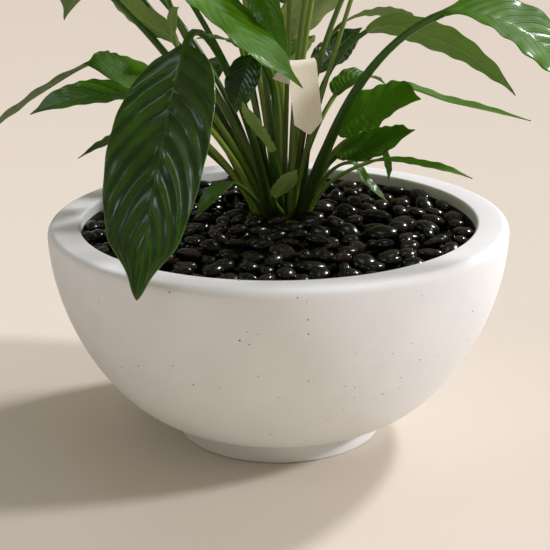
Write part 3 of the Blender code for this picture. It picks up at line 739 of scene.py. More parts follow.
@dataclass
class PebbleBed:
    """The dressing pebbles: loose stones dropped one by one onto a growing bed."""

    wall_radius: float = 0.1842
    base: float = 0.1712
    top: float = 0.2035
    mound: float = 0.005
    mound_reach: float = 0.11
    clump: tuple = (0.003, 0.060)
    clump_radius: float = 0.030
    crown: tuple = (-0.010, 0.045)
    crown_radius: float = 0.0525
    crown_top: float = 0.1905
    long_mm: tuple = (17.0, 22.0, 34.0)
    breadth: tuple = (0.58, 0.90)
    flatness: tuple = (0.34, 0.56)
    tumble: float = 0.20
    cell: float = 0.0018
    grid_reach: float = 0.19
    tries: int = 8
    count: int = 1300
    seed: int = 11

    def axis(self) -> np.ndarray:
        """The places of the bed's grid lines, from its middle."""
        lines = int(2 * self.grid_reach / self.cell) + 1
        return (np.arange(lines) - lines // 2) * self.cell

    def let_down(self, rng: np.random.Generator, ground: np.ndarray, half: tuple) -> Rest | None:
        """Lets a stone down at a random place and turn.

        Args:
            rng: The bed's random draws.
            ground: How high the bed stands so far, on the grid.
            half: Half the stone's length, breadth and thickness.

        Returns:
            Where it lies, or None where the stalks stand.
        """
        long, wide, thick = half
        spin = rng.uniform(0, math.pi)
        reach = (self.wall_radius - 0.97 * wide) * min(1, 1.06 * math.sqrt(rng.random()))
        way = rng.uniform(0, math.tau)
        if reach > self.wall_radius - 1.2 * long:
            spin = way + math.pi / 2
        x, y = reach * math.cos(way), reach * math.sin(way)
        from_clump = math.hypot(x - self.clump[0], y - self.clump[1])
        if from_clump < self.clump_radius + 0.7 * wide:
            return None
        axis = self.axis()
        spread = int(long / self.cell) + 1
        row, column = (int(round(place / self.cell)) + len(axis) // 2 for place in (y, x))
        window = (slice(max(row - spread, 0), row + spread + 1),
                  slice(max(column - spread, 0), column + spread + 1))
        dy, dx = np.meshgrid(axis[window[0]] - y, axis[window[1]] - x, indexing="ij")
        across = (dx * math.cos(spin) + dy * math.sin(spin)) / long
        over = (dy * math.cos(spin) - dx * math.sin(spin)) / wide
        inside = np.clip(1 - across**2 - over**2, 0, None)
        dome = thick * np.sqrt(inside)
        centre = (ground[window] + 0.93 * dome)[inside > 0].max()
        limit = self.top + self.mound * max(0, 1 - from_clump / self.mound_reach)
        top = np.where(inside > 0, centre + dome, -np.inf)
        return Rest(centre + thick - limit, (x, y, centre), spin, window, top)

    def drop(self) -> dict:
        """Packs the stones, each at the lowest of the places it was tried at.

        Returns:
            Their places, half sizes, turns and shades, as arrays by name.
        """
        rng = np.random.default_rng(self.seed)
        axis = self.axis()
        north, east = np.meshgrid(axis, axis, indexing="ij")
        on_crown = np.hypot(east - self.crown[0], north - self.crown[1]) < self.crown_radius
        ground = np.where(on_crown, self.crown_top, self.base)
        found = {"place": [], "size": [], "turn": [], "shade": []}
        for _ in range(self.count):
            long = rng.triangular(*self.long_mm) * MM / 2
            half = (long, long * rng.uniform(*self.breadth), long * rng.uniform(*self.flatness))
            rests = [self.let_down(rng, ground, half) for _ in range(self.tries)]
            best = min(filter(None, rests), key=lambda rest: rest.proud, default=None)
            if best is None or best.proud > 0:
                continue
            ground[best.window] = np.maximum(ground[best.window], best.top)
            found["place"].append(best.place)
            found["size"].append(half)
            found["turn"].append((rng.normal(0, self.tumble), rng.normal(0, self.tumble), best.spin))
            found["shade"].append(rng.random() ** 1.5)
        return {key: np.array(values) for key, values in found.items()}

    def tree(self, finish: bpy.types.Material) -> bpy.types.NodeTree:
        """The geometry tree that puts a worn stone on each point."""
        tree = new_tree("pebbles_on_points", "Points", ("Lumpiness", "Lump Size"), "Stones")
        given = add_node(tree, "NodeGroupInput")
        ball = add_node(tree, "GeometryNodeMeshIcoSphere", {"Radius": 1.0, "Subdivisions": 2})
        size, turn = (
            add_node(tree, "GeometryNodeInputNamedAttribute", {"Name": mark}, data_type="FLOAT_VECTOR")
            for mark in ("size", "turn"))
        spun = add_node(tree, "FunctionNodeEulerToRotation", {0: turn})
        stones = add_node(tree, "GeometryNodeInstanceOnPoints", {
            "Points": given.outputs["Points"], "Instance": ball.outputs["Mesh"],
            "Rotation": spun, "Scale": size})
        solid = add_node(tree, "GeometryNodeRealizeInstances", {"Geometry": stones})
        place = add_node(tree, "GeometryNodeInputPosition")
        scale = add_node(tree, "ShaderNodeMath", {0: 1.0, 1: given.outputs["Lump Size"]},
                         operation="DIVIDE")
        noise = add_node(tree, "ShaderNodeTexNoise", {"Vector": place, "Scale": scale, "Detail": 1.0})
        even = add_node(tree, "ShaderNodeVectorMath", {0: noise.outputs["Color"], 1: (0.5, 0.5, 0.5)},
                        operation="SUBTRACT")
        shift = add_node(tree, "ShaderNodeVectorMath", {0: even}, operation="SCALE")
        tree.links.new(given.outputs["Lumpiness"], shift.inputs["Scale"])
        worn = add_node(tree, "GeometryNodeSetPosition", {"Geometry": solid, "Offset": shift})
        soft = add_node(tree, "GeometryNodeSetShadeSmooth", {"Geometry": worn})
        dressed = add_node(tree, "GeometryNodeSetMaterial", {"Geometry": soft, "Material": finish})
        add_node(tree, "NodeGroupOutput", {"Stones": dressed})
        return tree

    def build(self) -> bpy.types.Object:
        """Drops the stones and makes them one piece."""
        stones = self.drop()
        finish = PolishedPebble().make()
        marks = {key: stones[key] for key in ("size", "turn", "shade")}
        points = make_mesh("pebble_places", stones["place"], [], [], marks=marks)
        piece = grow(self.tree(finish), "dressing_pebbles", points,
                     {"Lumpiness": 2.2 * MM, "Lump Size": 9 * MM}, finish)
        log.info("%d pebbles", len(stones["place"]))
        settle(piece, "pebbles", "pebble_bed")
        return piece


# --- Leaves --------------------------------------------------------------------------------------

CROWN = np.array([-0.010, 0.045, 0.190])
CROWN_RADIUS = 0.052
GAP = 0.0003
CLUMP = np.array([0.003, 0.060])
CLUMP_SHARE = 0.58


class Age(Enum):
    """How old a leaf is, which sets its green: 0 is new and bright, 1 old and dark."""

    NEW = 0.0
    YOUNG = 0.25
    GROWN = 0.55
    DEEP = 0.8
    OLD = 1.0


@dataclass(frozen=True)
class Leaf:
    """A leaf by three places on it, from the middle of the crown's top.

    They are where the blade begins, its middle and its tip. Roll turns the blade about its midrib
    in degrees, rise is how upright the stalk sets out, and hook how much of the bend under the
    blade is in the stalk.
    """

    name: str
    start: tuple
    middle: tuple
    tip: tuple
    width: float
    roll: float = 0.0
    stalk: float = 0.0072
    neck: float = 0.0042
    rise: float = 0.35
    hook: float = 0.5
    age: Age = Age.GROWN
    wave: float = 0.10
    widest: float = 0.42
    veins: int = 13
    relief: float = 1.0
    rows: int = 84
    columns: int = 13


LEAVES = (
    Leaf("drape_front", (-0.067, -0.135, 0.194), (-0.083, -0.2235, 0.124), (-0.102, -0.2722, 0.016), 0.087,
         stalk=0.0085, neck=0.0056, hook=0.92, age=Age.DEEP, wave=0.05, widest=0.47, veins=10, relief=2.6,
         rows=240, columns=30),
    Leaf("arch_right", (0.157, -0.075, 0.211), (0.215, -0.085, 0.201), (0.290, -0.105, 0.128), 0.076, 12,
         stalk=0.0125, neck=0.0064, rise=0.0, age=Age.YOUNG),
    Leaf("sunlit_centre", (-0.088, -0.055, 0.251), (-0.027, -0.125, 0.212), (0.031, -0.165, 0.163), 0.070,
         -32, age=Age.YOUNG, rows=130, columns=20),
    Leaf("spear_centre", (-0.015, -0.045, 0.266), (0.004, -0.095, 0.216), (0.022, -0.115, 0.169), 0.040, 55),
    Leaf("sweep_left", (-0.134, -0.015, 0.161), (-0.205, -0.025, 0.136), (-0.295, -0.045, 0.061), 0.050, 15,
         age=Age.DEEP),
    Leaf("cup_left", (-0.096, -0.055, 0.148), (-0.129, -0.095, 0.164), (-0.154, -0.125, 0.178), 0.052, -35,
         age=Age.YOUNG),
    Leaf("arm_left", (-0.117, -0.025, 0.129), (-0.163, -0.065, 0.137), (-0.208, -0.095, 0.128), 0.042, -20,
         rise=0.2),
    Leaf("low_left", (-0.115, 0.035, 0.091), (-0.146, 0.005, 0.083), (-0.181, -0.005, 0.066), 0.034),
    Leaf("high_left", (-0.190, 0.005, 0.256), (-0.255, 0.000, 0.276), (-0.320, -0.020, 0.216), 0.085,
         stalk=0.0105, neck=0.0056, rise=0.1, age=Age.DEEP),
    Leaf("high_left_back", (-0.170, 0.055, 0.268), (-0.235, 0.080, 0.306), (-0.300, 0.100, 0.291), 0.080,
         stalk=0.0085, rise=0.1),
    Leaf("blade_up_left", (-0.083, -0.006, 0.176), (-0.119, 0.002, 0.200), (-0.158, 0.004, 0.243), 0.042, 40),
    Leaf("high_front_left", (-0.112, -0.060, 0.296), (-0.150, -0.130, 0.346), (-0.195, -0.210, 0.326), 0.085,
         rise=0.95, age=Age.DEEP),
    Leaf("curl_left", (-0.083, -0.045, 0.189), (-0.084, -0.046, 0.203), (-0.077, -0.055, 0.215), 0.014,
         rows=50),
    Leaf("roof_centre", (-0.004, -0.035, 0.162), (-0.029, -0.065, 0.186), (-0.060, -0.085, 0.192), 0.042),
    Leaf("dark_centre", (-0.010, -0.062, 0.172), (-0.020, -0.076, 0.154), (-0.027, -0.083, 0.124), 0.034,
         age=Age.OLD),
    Leaf("young_front", (0.004, -0.072, 0.088), (-0.010, -0.092, 0.114), (-0.021, -0.104, 0.140), 0.032, -30,
         age=Age.YOUNG),
    Leaf("seedling_front", (0.008, -0.056, 0.040), (0.018, -0.068, 0.056), (0.028, -0.071, 0.070), 0.020,
         stalk=0.0045, neck=0.0028, age=Age.NEW, rows=60),
    Leaf("curl_front", (-0.033, -0.055, 0.054), (-0.048, -0.085, 0.051), (-0.063, -0.105, 0.035), 0.020,
         stalk=0.0055, neck=0.0034, rise=0.05, rows=60),
    Leaf("broad_back", (0.005, 0.055, 0.170), (0.058, 0.095, 0.200), (0.119, 0.125, 0.246), 0.100, -50),
    Leaf("far_right_back", (0.070, 0.075, 0.176), (0.118, 0.095, 0.187), (0.155, 0.105, 0.173), 0.040, -20),
    Leaf("long_right", (0.094, 0.005, 0.183), (0.168, 0.005, 0.172), (0.233, -0.015, 0.125), 0.058, -35,
         rise=0.6),
    Leaf("thin_right", (0.110, 0.045, 0.121), (0.184, 0.045, 0.106), (0.256, 0.025, 0.092), 0.034,
         age=Age.YOUNG),
    Leaf("bright_right", (0.068, 0.010, 0.086), (0.102, -0.005, 0.112), (0.143, -0.028, 0.125), 0.080, 25,
         age=Age.NEW),
    Leaf("bright_right_low", (0.068, 0.035, 0.056), (0.105, 0.012, 0.072), (0.140, -0.010, 0.092), 0.056, 20,
         age=Age.YOUNG),
    Leaf("dark_right_up", (0.049, 0.025, 0.141), (0.069, 0.045, 0.161), (0.093, 0.055, 0.179), 0.036, 30,
         age=Age.OLD),
    Leaf("hang_right", (0.107, 0.065, 0.072), (0.117, 0.060, 0.051), (0.121, 0.055, 0.025), 0.026,
         age=Age.DEEP),
    Leaf("roof_right", (0.068, 0.075, 0.109), (0.092, 0.095, 0.124), (0.120, 0.105, 0.114), 0.040),
    Leaf("low_right", (0.096, -0.045, 0.070), (0.145, -0.065, 0.071), (0.187, -0.075, 0.061), 0.022,
         stalk=0.0055, neck=0.0034, age=Age.YOUNG),
    Leaf("fold_right", (0.080, -0.015, 0.062), (0.094, -0.028, 0.046), (0.114, -0.035, 0.028), 0.016,
         stalk=0.0050, neck=0.0032),
    Leaf("nook_right", (0.055, 0.055, 0.041), (0.075, 0.075, 0.048), (0.100, 0.090, 0.048), 0.024,
         stalk=0.0050, neck=0.0032),
    Leaf("high_front", (-0.035, -0.080, 0.336), (-0.055, -0.160, 0.376), (-0.068, -0.250, 0.336), 0.090,
         rise=0.8, age=Age.DEEP),
    Leaf("high_front_right", (0.070, -0.060, 0.336), (0.120, -0.130, 0.376), (0.170, -0.210, 0.336), 0.088),
    Leaf("high_right", (0.150, 0.010, 0.336), (0.215, 0.000, 0.366), (0.290, -0.030, 0.326), 0.084,
         rise=0.95),
    Leaf("high_right_back", (0.090, 0.080, 0.346), (0.150, 0.150, 0.386), (0.210, 0.220, 0.356), 0.088),
    Leaf("high_back", (0.000, 0.090, 0.366), (-0.010, 0.170, 0.406), (-0.020, 0.260, 0.366), 0.090),
    Leaf("top_left_back", (-0.095, 0.070, 0.376), (-0.145, 0.130, 0.416), (-0.195, 0.195, 0.386), 0.088),
    Leaf("top_centre", (0.020, 0.010, 0.386), (0.045, -0.045, 0.431), (0.080, -0.110, 0.426), 0.080,
         age=Age.YOUNG),
    Leaf("mid_back", (-0.030, 0.100, 0.246), (-0.040, 0.180, 0.266), (-0.050, 0.265, 0.206), 0.090,
         age=Age.DEEP),
    Leaf("mid_left_back", (-0.110, 0.090, 0.211), (-0.160, 0.140, 0.226), (-0.215, 0.180, 0.171), 0.080,
         age=Age.DEEP),
    Leaf("mid_right_back", (0.020, 0.146, 0.191), (0.038, 0.210, 0.206), (0.056, 0.272, 0.156), 0.080,
         rise=0.05),
    Leaf("low_back_left", (-0.060, 0.095, 0.116), (-0.085, 0.150, 0.126), (-0.105, 0.205, 0.081), 0.070,
         age=Age.DEEP),
    Leaf("low_back", (0.006, 0.106, 0.136), (0.012, 0.166, 0.146), (0.018, 0.226, 0.096), 0.076),
)


@dataclass(frozen=True)
class Flower:
    """A flower by the top of its stalk from the crown, the way its hood faces and its size."""

    name: str
    top: tuple
    facing: float
    size: float = 1.0


FLOWERS = (
    Flower("right", (0.118, -0.030, 0.391), 20),
    Flower("left", (-0.075, 0.000, 0.446), -35, 1.08),
    Flower("back", (0.030, 0.065, 0.456), 150, 0.9),
)


def stalk_feet(spacing: float = 0.0105, margin: float = 0.006) -> list[np.ndarray]:
    """Where each stalk rises from the crown.

    A stalk stands under its own top, the more upright the nearer the middle, and the feet are then
    pushed apart until each has its own room. The sheaths of real stalks wrap round each other,
    which solids can't, so the finished feet are drawn in round the middle of the clump.

    Args:
        spacing: How far apart the feet stand.
        margin: How far inside the crown's edge they stay.

    Returns:
        A place for each leaf and then for each flower.
    """
    tops = [leaf.start for leaf in LEAVES] + [flower.top for flower in FLOWERS]
    lean = np.array([top[:2] for top in tops])
    far = np.linalg.norm(lean, axis=1)
    rank = np.argsort(np.argsort(far / [top[2] for top in tops]))
    room = CROWN_RADIUS - margin
    feet = lean / far[:, None] * (room * np.sqrt((rank + 0.5) / len(tops)))[:, None]
    own = np.eye(len(feet))
    for _ in range(300):
        away = feet[:, None] - feet[None]
        distance = np.linalg.norm(away, axis=2) + own
        push = np.clip(spacing - distance, 0, None) * (1 - own)
        feet = feet + 0.25 * (away / distance[:, :, None] * push[:, :, None]).sum(1)
        reach = np.linalg.norm(feet, axis=1)
        out = reach > room
        feet[out] *= (room / reach[out])[:, None]
    return [np.array([*(CLUMP + CLUMP_SHARE * foot), CROWN[2] + GAP]) for foot in feet]


def hermite(start: np.ndarray, leave: np.ndarray, stop: np.ndarray, arrive: np.ndarray,
            count: int) -> np.ndarray:
    """Points on a cubic from start to stop that leaves and arrives along the given vectors."""
    s = np.linspace(0, 1, count)[:, None]
    return ((2 * s**3 - 3 * s**2 + 1) * start + (s**3 - 2 * s**2 + s) * leave
            + (3 * s**2 - 2 * s**3) * stop + (s**3 - s**2) * arrive)


def along_line(points: np.ndarray, shares: np.ndarray) -> np.ndarray:
    """The places at the given shares of a line's length."""
    steps = np.linalg.norm(np.diff(points, axis=0), axis=1)
    lengths = np.concatenate([[0], np.cumsum(steps)])
    wanted = shares * lengths[-1]
    return np.stack([np.interp(wanted, lengths, points[:, axis]) for axis in range(3)], axis=1)


def blade_outline(share: np.ndarray, widest: float = 0.40, drip: float = 0.0) -> np.ndarray:
    """Half width along a blade as a share of its widest.

    Args:
        share: Places along the blade, from 0 to 1.
        widest: Where it is broadest.
        drip: How sharply it narrows into a drip tip.

    Returns:
        The half width at each place.
    """
    power = 0.60 * (1 - widest) / widest
    share = np.clip(share, 0, 1)
    body = share**0.60 * (1 - share) ** power / (widest**0.60 * (1 - widest) ** power)
    return body * (1 - drip * smooth(0.80, 0.95, share))


def wander(rng: np.random.Generator, share: np.ndarray, waves: int) -> np.ndarray:
    """A soft random curve along 0 to 1, about -1 to 1 high."""
    total = np.zeros_like(share)
    for count in range(1, waves + 1):
        total += rng.normal() / count * np.sin(math.pi * count * share + rng.uniform(0, math.tau))
    return total / 1.5


@dataclass
class Foliage:
    """Every leaf, each one grown piece from its foot on the crown to its tip."""

    upper: bpy.types.Material
    lower: bpy.types.Material
    stalk_skin: bpy.types.Material
    stalk_rows: int = 22
    upright: float = 0.40
    vein_sweep: tuple = (0.13, 0.26)
    vein_depth_mm: float = 0.95
    thick_mm: float = 0.55
    fold: float = 0.20
    drip: float = 0.45
    least: float = 0.0006

    def line(self, foot: np.ndarray, leaf: Leaf) -> tuple[np.ndarray, np.ndarray, np.ndarray]:
        """The leaf's own line.

        Args:
            foot: Where the stalk rises.
            leaf: The leaf.

        Returns:
            Points up the stalk and along the midrib, the direction at each, and a share that is -1
            at the foot, 0 where the blade begins and 1 at its tip.
        """
        start, middle, tip = (CROWN + np.array(place) for place in (leaf.start, leaf.middle, leaf.tip))
        up_stalk, first, last = start - foot, middle - start, tip - middle
        upright = self.upright + (1 - self.upright) * leaf.rise
        leave = unit(unit(up_stalk) * (1 - upright) + UP * upright)
        at_start = unit(unit(up_stalk) * (1 - leaf.hook) + unit(first) * leaf.hook)
        at_middle = unit(unit(first) + unit(last))
        at_tip = 2 * (at_middle @ unit(last)) * unit(last) - at_middle
        reach = [np.linalg.norm(stretch) for stretch in (up_stalk, first, last)]
        stalk = hermite(foot, leave * reach[0], start, at_start * reach[0], 80)
        near = hermite(start, at_start * reach[1], middle, at_middle * reach[1], 60)
        far = hermite(middle, at_middle * reach[2], tip, at_tip * reach[2], 60)
        even = np.linspace(0, 1, leaf.rows + 1)
        shares = 0.55 * even + 0.45 * (1 - np.cos(math.pi * even)) / 2
        up = np.linspace(0, 1, self.stalk_rows)
        line = np.vstack([along_line(stalk, up), along_line(np.vstack([near, far[1:]]), shares[1:])])
        place = np.concatenate([up - 1, shares[1:]])
        heading = np.gradient(line, axis=0)
        heading[0] = leave
        return line, heading / np.linalg.norm(heading, axis=1)[:, None], place

    def sides(self, line: np.ndarray, heading: np.ndarray, place: np.ndarray,
              roll: float) -> tuple[np.ndarray, np.ndarray]:
        """Across and over directions along the leaf. The roll comes on up the stalk."""
        out = (line[-1] - line[0])[:2]
        level = np.array([-out[1], out[0], 0.0]) / np.linalg.norm(out)
        across = level - (heading @ level)[:, None] * heading
        across /= np.linalg.norm(across, axis=1)[:, None]
        over = np.cross(heading, across)
        turn = np.clip(place + 1, 0, 1) ** 2 * math.radians(roll)
        cos, sin = np.cos(turn)[:, None], np.sin(turn)[:, None]
        across, over = cos * across + sin * over, cos * over - sin * across
        across[0] = unit(across[0] * (1, 1, 0))
        over[0] = np.cross(UP, across[0])
        return across, over

    def lift(self, leaf: Leaf, t: np.ndarray, u: np.ndarray, rng: np.random.Generator) -> np.ndarray:
        """How high the blade stands over its midrib, in half widths: its fold and its rippled margins."""
        fold = self.fold * rng.uniform(0.7, 1.4)
        rise = fold * (np.sqrt(u**2 + 0.02) - math.sqrt(0.02)) - 0.05 * u**2
        swell = np.where(u < 0, *(wander(rng, t, 7) for _ in range(2)))
        quick = np.where(u < 0, *(
            np.sin(math.tau * (rng.uniform(6, 8) * t + rng.random())) for _ in range(2)))
        return rise + self.ease(t) * np.abs(u)**2 * leaf.wave * (swell + 0.3 * quick)

    def veins(self, leaf: Leaf, t: np.ndarray, size: np.ndarray, left: np.ndarray,
              rng: np.random.Generator) -> tuple[np.ndarray, np.ndarray]:
        """The side veins, which leave the midrib and sweep forward.

        Args:
            leaf: The leaf.
            t: Places along the blade, from 0 to 1.
            size: Places out from the midrib, from 0 to 1.
            left: Where the blade's left half is.
            rng: The leaf's own random draws.

        Returns:
            Each point's place counted in veins, and how far the tissue swells there.
        """
        vein = t - size**1.25 * (self.vein_sweep[0] + self.vein_sweep[1] * t)
        vein = leaf.veins * (vein + 0.014 * wander(rng, vein, 9)) + np.where(left, 0.37, 0.0)
        pillow = np.abs(np.sin(math.pi * vein)) ** 0.9 - 0.6
        return vein, pillow * (1 + 0.45 * np.sin(2.1 * vein + rng.uniform(0, math.tau)))

    def ease(self, t: np.ndarray) -> np.ndarray:
        """Lets ripples and veins in after the blade's base and out before its tip."""
        return smooth(0.03, 0.25, t) * (1 - smooth(0.93, 1.0, t))

    def section(self, leaf: Leaf, place: np.ndarray, rng: np.random.Generator) -> dict:
        """The leaf's cross sections: round up the stalk, then a thin folded blade.

        Args:
            leaf: The leaf.
            place: Its rings' places along it, from -1 at the foot to 1 at the tip.
            rng: The leaf's own random draws.

        Returns:
            Offsets across and over at each ring and point, and what the finish reads there.
        """
        columns = leaf.columns
        even = np.linspace(-1, 1, 2 * columns + 1)
        u, above = both_faces(0.72 * even + 0.28 * np.sin(even * math.pi / 2))
        size = np.abs(u)
        angle = math.pi * np.concatenate([
            1 - np.arange(2 * columns + 1) / (2 * columns),
            -np.arange(1, 2 * columns) / (2 * columns)])[None, :]
        t = np.clip(place, 0, 1)[:, None]
        up = np.clip(place + 1, 0, 1)[:, None]
        half = leaf.width / 2 * blade_outline(t, leaf.widest, self.drip)
        half = half * (1 + 0.03 * wander(rng, t, 5) * np.sign(u))
        radius = (leaf.stalk + up * (leaf.neck - leaf.stalk)) / 2
        radius = radius * (1 + 0.16 * np.exp(-((up - 0.95) / 0.05) ** 2)) * (1 - 0.9 * t) ** 0.5
        half = np.maximum(np.hypot(half, radius * (1 - smooth(0, 0.1, t))), self.least)
        rise = self.lift(leaf, t, u, rng)
        vein, pillow = self.veins(leaf, t, size, u < 0, rng)
        depth = leaf.relief * self.vein_depth_mm * MM * np.sqrt(half / 0.045)
        relief = depth * self.ease(t) * (1 - size**4) * smooth(0.0, 0.15, size) * pillow
        # The midrib is a keel beneath and a shallow groove above.
        from_rib = size * half
        rib = np.exp(-((from_rib / (1.5 * MM)) ** 2)) * (1 - 0.7 * t) * smooth(0.0, 0.1, t)
        thick = self.thick_mm * MM / 2 * (1 - 0.5 * size**6)
        keel = np.where(above < 0, 1.1 * MM * rib, 0.0)
        sink = np.where(above > 0, 0.25 * MM * rib, 0.0)
        blade_y = rise * half + relief + above * (thick + keel) - sink
        channel = 1 - 0.22 * np.exp(-(((angle - math.pi / 2) / 0.45) ** 2)) * smooth(0.05, 0.4, up)
        widened = np.where(t > 0, np.maximum(half, radius) / radius, 1.0)
        flat = smooth(0.0, 0.10, t)
        return {
            "x": (1 - flat) * radius * np.cos(angle) * widened + flat * u * half,
            "y": (1 - flat) * radius * np.sin(angle) * channel + flat * blade_y,
            "vein": vein,
            "from_rib": from_rib / MM,
            "from_edge": (1 - size) * half / MM,
        }

    def build_leaf(self, number: int, foot: np.ndarray, leaf: Leaf) -> bpy.types.Object:
        """Makes one leaf in place of its solid."""
        rng = np.random.default_rng(100 + number)
        line, heading, place = self.line(foot, leaf)
        across, over = self.sides(line, heading, place, leaf.roll)
        cut = self.section(leaf, place, rng)
        rings = (line[:, None] + cut["x"][:, :, None] * across[:, None]
                 + cut["y"][:, :, None] * over[:, None])
        points, faces = skin(rings)
        rows, sides = rings.shape[:2]
        spread = np.broadcast_to(place[:, None], (rows, sides))
        blade = np.stack([spread, cut["from_rib"], cut["from_edge"]], axis=-1).reshape(-1, 3)
        blade = np.vstack([blade, (-1, 0, 9), (1, 0, 0)])
        vein = np.concatenate([cut["vein"].ravel(), [0, 0]])
        age = np.full(len(points), leaf.age.value + rng.normal(0, 0.06))
        paleness = np.full(len(points), 0.8 * rng.random() ** 2.5)
        beyond = (place[:-1] >= 0)[:, None]
        side = np.arange(sides)[None, :]
        slots = np.where(beyond, (side >= 2 * leaf.columns).astype(int), 2)
        slots = np.concatenate([np.broadcast_to(slots, (rows - 1, sides)).ravel(),
                                np.full(sides, 2), np.zeros(sides)])
        piece = make_mesh(f"leaf_fine_{leaf.name}", points, faces,
                          [self.upper, self.lower, self.stalk_skin], slots,
                          {"blade": blade, "vein": vein, "age": age, "paleness": paleness})
        settle(outward(piece), "leaf", f"leaf_{leaf.name}")
        return piece

    def build(self, feet: list[np.ndarray]) -> None:
        """Makes every leaf."""
        for number, (foot, leaf) in enumerate(zip(feet, LEAVES)):
            self.build_leaf(number, foot, leaf)


# --- Flowers -------------------------------------------------------------------------------------

@dataclass
class FlowerHeads:
    """The flowers: a bare stalk, a white hood and the spike of florets that it cups."""

    stalk_skin: bpy.types.Material
    stalk_width: float = 0.0052
    hood_length: float = 0.125
    hood_width: float = 0.066
    hood_thick: float = 0.0009
    spike_length: float = 0.058
    spike_width: float = 0.0125
    floret: float = 0.00105
    hood_lift: float = 0.003
    hood_set_back: float = 0.007
    hood_lean: float = 0.020
    hood_tip_ahead: float = 0.004
    spike_lift: float = 0.0009

    def stalk(self, foot: np.ndarray, top: np.ndarray) -> np.ndarray:
        """Rings up a flower stalk."""
        height = np.linalg.norm(top - foot)
        leave = unit(unit(top - foot) + 0.5 * UP) * height
        arrive = unit(unit(top - foot) + UP) * height
        shares = np.linspace(0, 1, 40)
        line = along_line(hermite(foot, leave, top, arrive, 80), shares)
        widths = self.stalk_width / 2 * (1 - 0.3 * shares)
        return line[:, None] + widths[:, None, None] * circle(14)[None]

    def hood(self, top: np.ndarray, flower: Flower) -> tuple[np.ndarray, dict]:
        """Rings up a flower's hood, and what its finish reads."""
        facing = math.radians(flower.facing)
        front = np.array([math.sin(facing), -math.cos(facing), 0.0])
        side = np.cross(UP, front)
        length = self.hood_length * flower.size
        rows, columns = 60, 14
        share = (np.arange(rows) + 0.5)[:, None] / rows
        u, above = both_faces(np.linspace(-1, 1, 2 * columns + 1))
        half = np.maximum(self.hood_width * flower.size / 2 * blade_outline(share), 0.0012)
        base = top + UP * self.hood_lift - front * self.hood_set_back
        lean = self.hood_tip_ahead * smooth(0.88, 1.0, share)
        lean -= self.hood_lean * np.sin(math.pi * share) * (1 - share)
        vein = 7 * np.abs(u) ** 0.9 + 0 * share
        cup = 0.55 * half * (1 - 0.6 * share) * (np.sqrt(u**2 + 0.03) - math.sqrt(0.03)) / 0.85
        curl = -0.10 * half * smooth(0.75, 1.0, np.abs(u)) * smooth(0.1, 0.5, share)
        pleat = 0.25 * MM * (np.abs(np.sin(math.pi * vein)) - 0.6) * (1 - u**4)
        y = lean + cup + curl + pleat + above * self.hood_thick / 2
        rings = (base + UP * (length * share)[:, :, None] + (u * half)[:, :, None] * side
                 + y[:, :, None] * front)
        spread = share + 0 * u
        blade = np.stack([spread, np.abs(u) * half / MM, (1 - np.abs(u)) * half / MM], axis=-1)
        return rings, {
            "blade": np.vstack([blade.reshape(-1, 3), (0, 0, 9), (1, 0, 0)]),
            "vein": np.concatenate([vein.ravel(), [0, 0]]),
        }

    def floret_tree(self, finish: bpy.types.Material) -> bpy.types.NodeTree:
        """The geometry tree that sets a bead on each floret's place and keeps the core under them."""
        tree = new_tree("florets_on_core", "Core", ("Floret Radius",), "Spike")
        given = add_node(tree, "NodeGroupInput")
        bead = add_node(tree, "GeometryNodeMeshIcoSphere", {
            "Radius": given.outputs["Floret Radius"], "Subdivisions": 1})
        beads = add_node(tree, "GeometryNodeInstanceOnPoints", {
            "Points": given.outputs["Core"], "Instance": bead.outputs["Mesh"]})
        solid = add_node(tree, "GeometryNodeRealizeInstances", {"Geometry": beads})
        both = add_node(tree, "GeometryNodeJoinGeometry", {"Geometry": solid})
        tree.links.new(given.outputs["Core"], both.inputs["Geometry"])
        soft = add_node(tree, "GeometryNodeSetShadeSmooth", {"Geometry": both})
        dressed = add_node(tree, "GeometryNodeSetMaterial", {"Geometry": soft, "Material": finish})
        add_node(tree, "NodeGroupOutput", {"Spike": dressed})
        return tree

    def spike(self, top: np.ndarray, flower: Flower) -> np.ndarray:
        """Rings up the spike's core, each turned half a step from the last."""
        length = self.spike_length * flower.size - 2 * self.floret
        shares = np.linspace(0, 1, 30)
        base = top + UP * (self.spike_lift + self.floret)
        widths = np.interp(shares, (0, 0.12, 0.22, 0.80, 0.95, 1), (0.40, 0.50, 0.80, 0.76, 0.48, 0.15))
        return np.array([
            base + circle(18, self.spike_width / 2 * width, length * share, (number % 2) * math.pi / 18)
            for number, (share, width) in enumerate(zip(shares, widths))])

    def build(self, feet: list[np.ndarray]) -> None:
        """Makes every flower."""
        tissue, cream = SpatheTissue().make(), SpadixTissue().make()
        tree = self.floret_tree(cream)
        for foot, flower in zip(feet, FLOWERS):
            top = CROWN + np.array(flower.top)
            rings = self.stalk(foot, top)
            points, faces = skin(rings)
            share = np.concatenate([np.repeat(np.linspace(-1, 0, len(rings)), rings.shape[1]), [-1, 0]])
            marks = {"blade": np.stack([share, 0 * share, 9 + 0 * share], axis=-1),
                     "paleness": np.full(len(share), 0.45)}
            stalk = make_mesh(f"bare_stalk_{flower.name}", points, faces, [self.stalk_skin], marks=marks)
            settle(outward(stalk), "flower_stalk", f"flower_stalk_{flower.name}")
            rings, marks = self.hood(top, flower)
            hood = make_mesh(f"hood_{flower.name}", *skin(rings), [tissue], marks=marks)
            settle(outward(hood), "spathe", f"flower_spathe_{flower.name}")
            core = outward(make_mesh(f"core_{flower.name}", *skin(self.spike(top, flower)), []))
            spike = grow(tree, f"floret_spike_{flower.name}", core, {"Floret Radius": self.floret}, cream)
            settle(spike, "spadix", f"flower_spadix_{flower.name}")


# --- Plant tag -----------------------------------------------------------------------------------

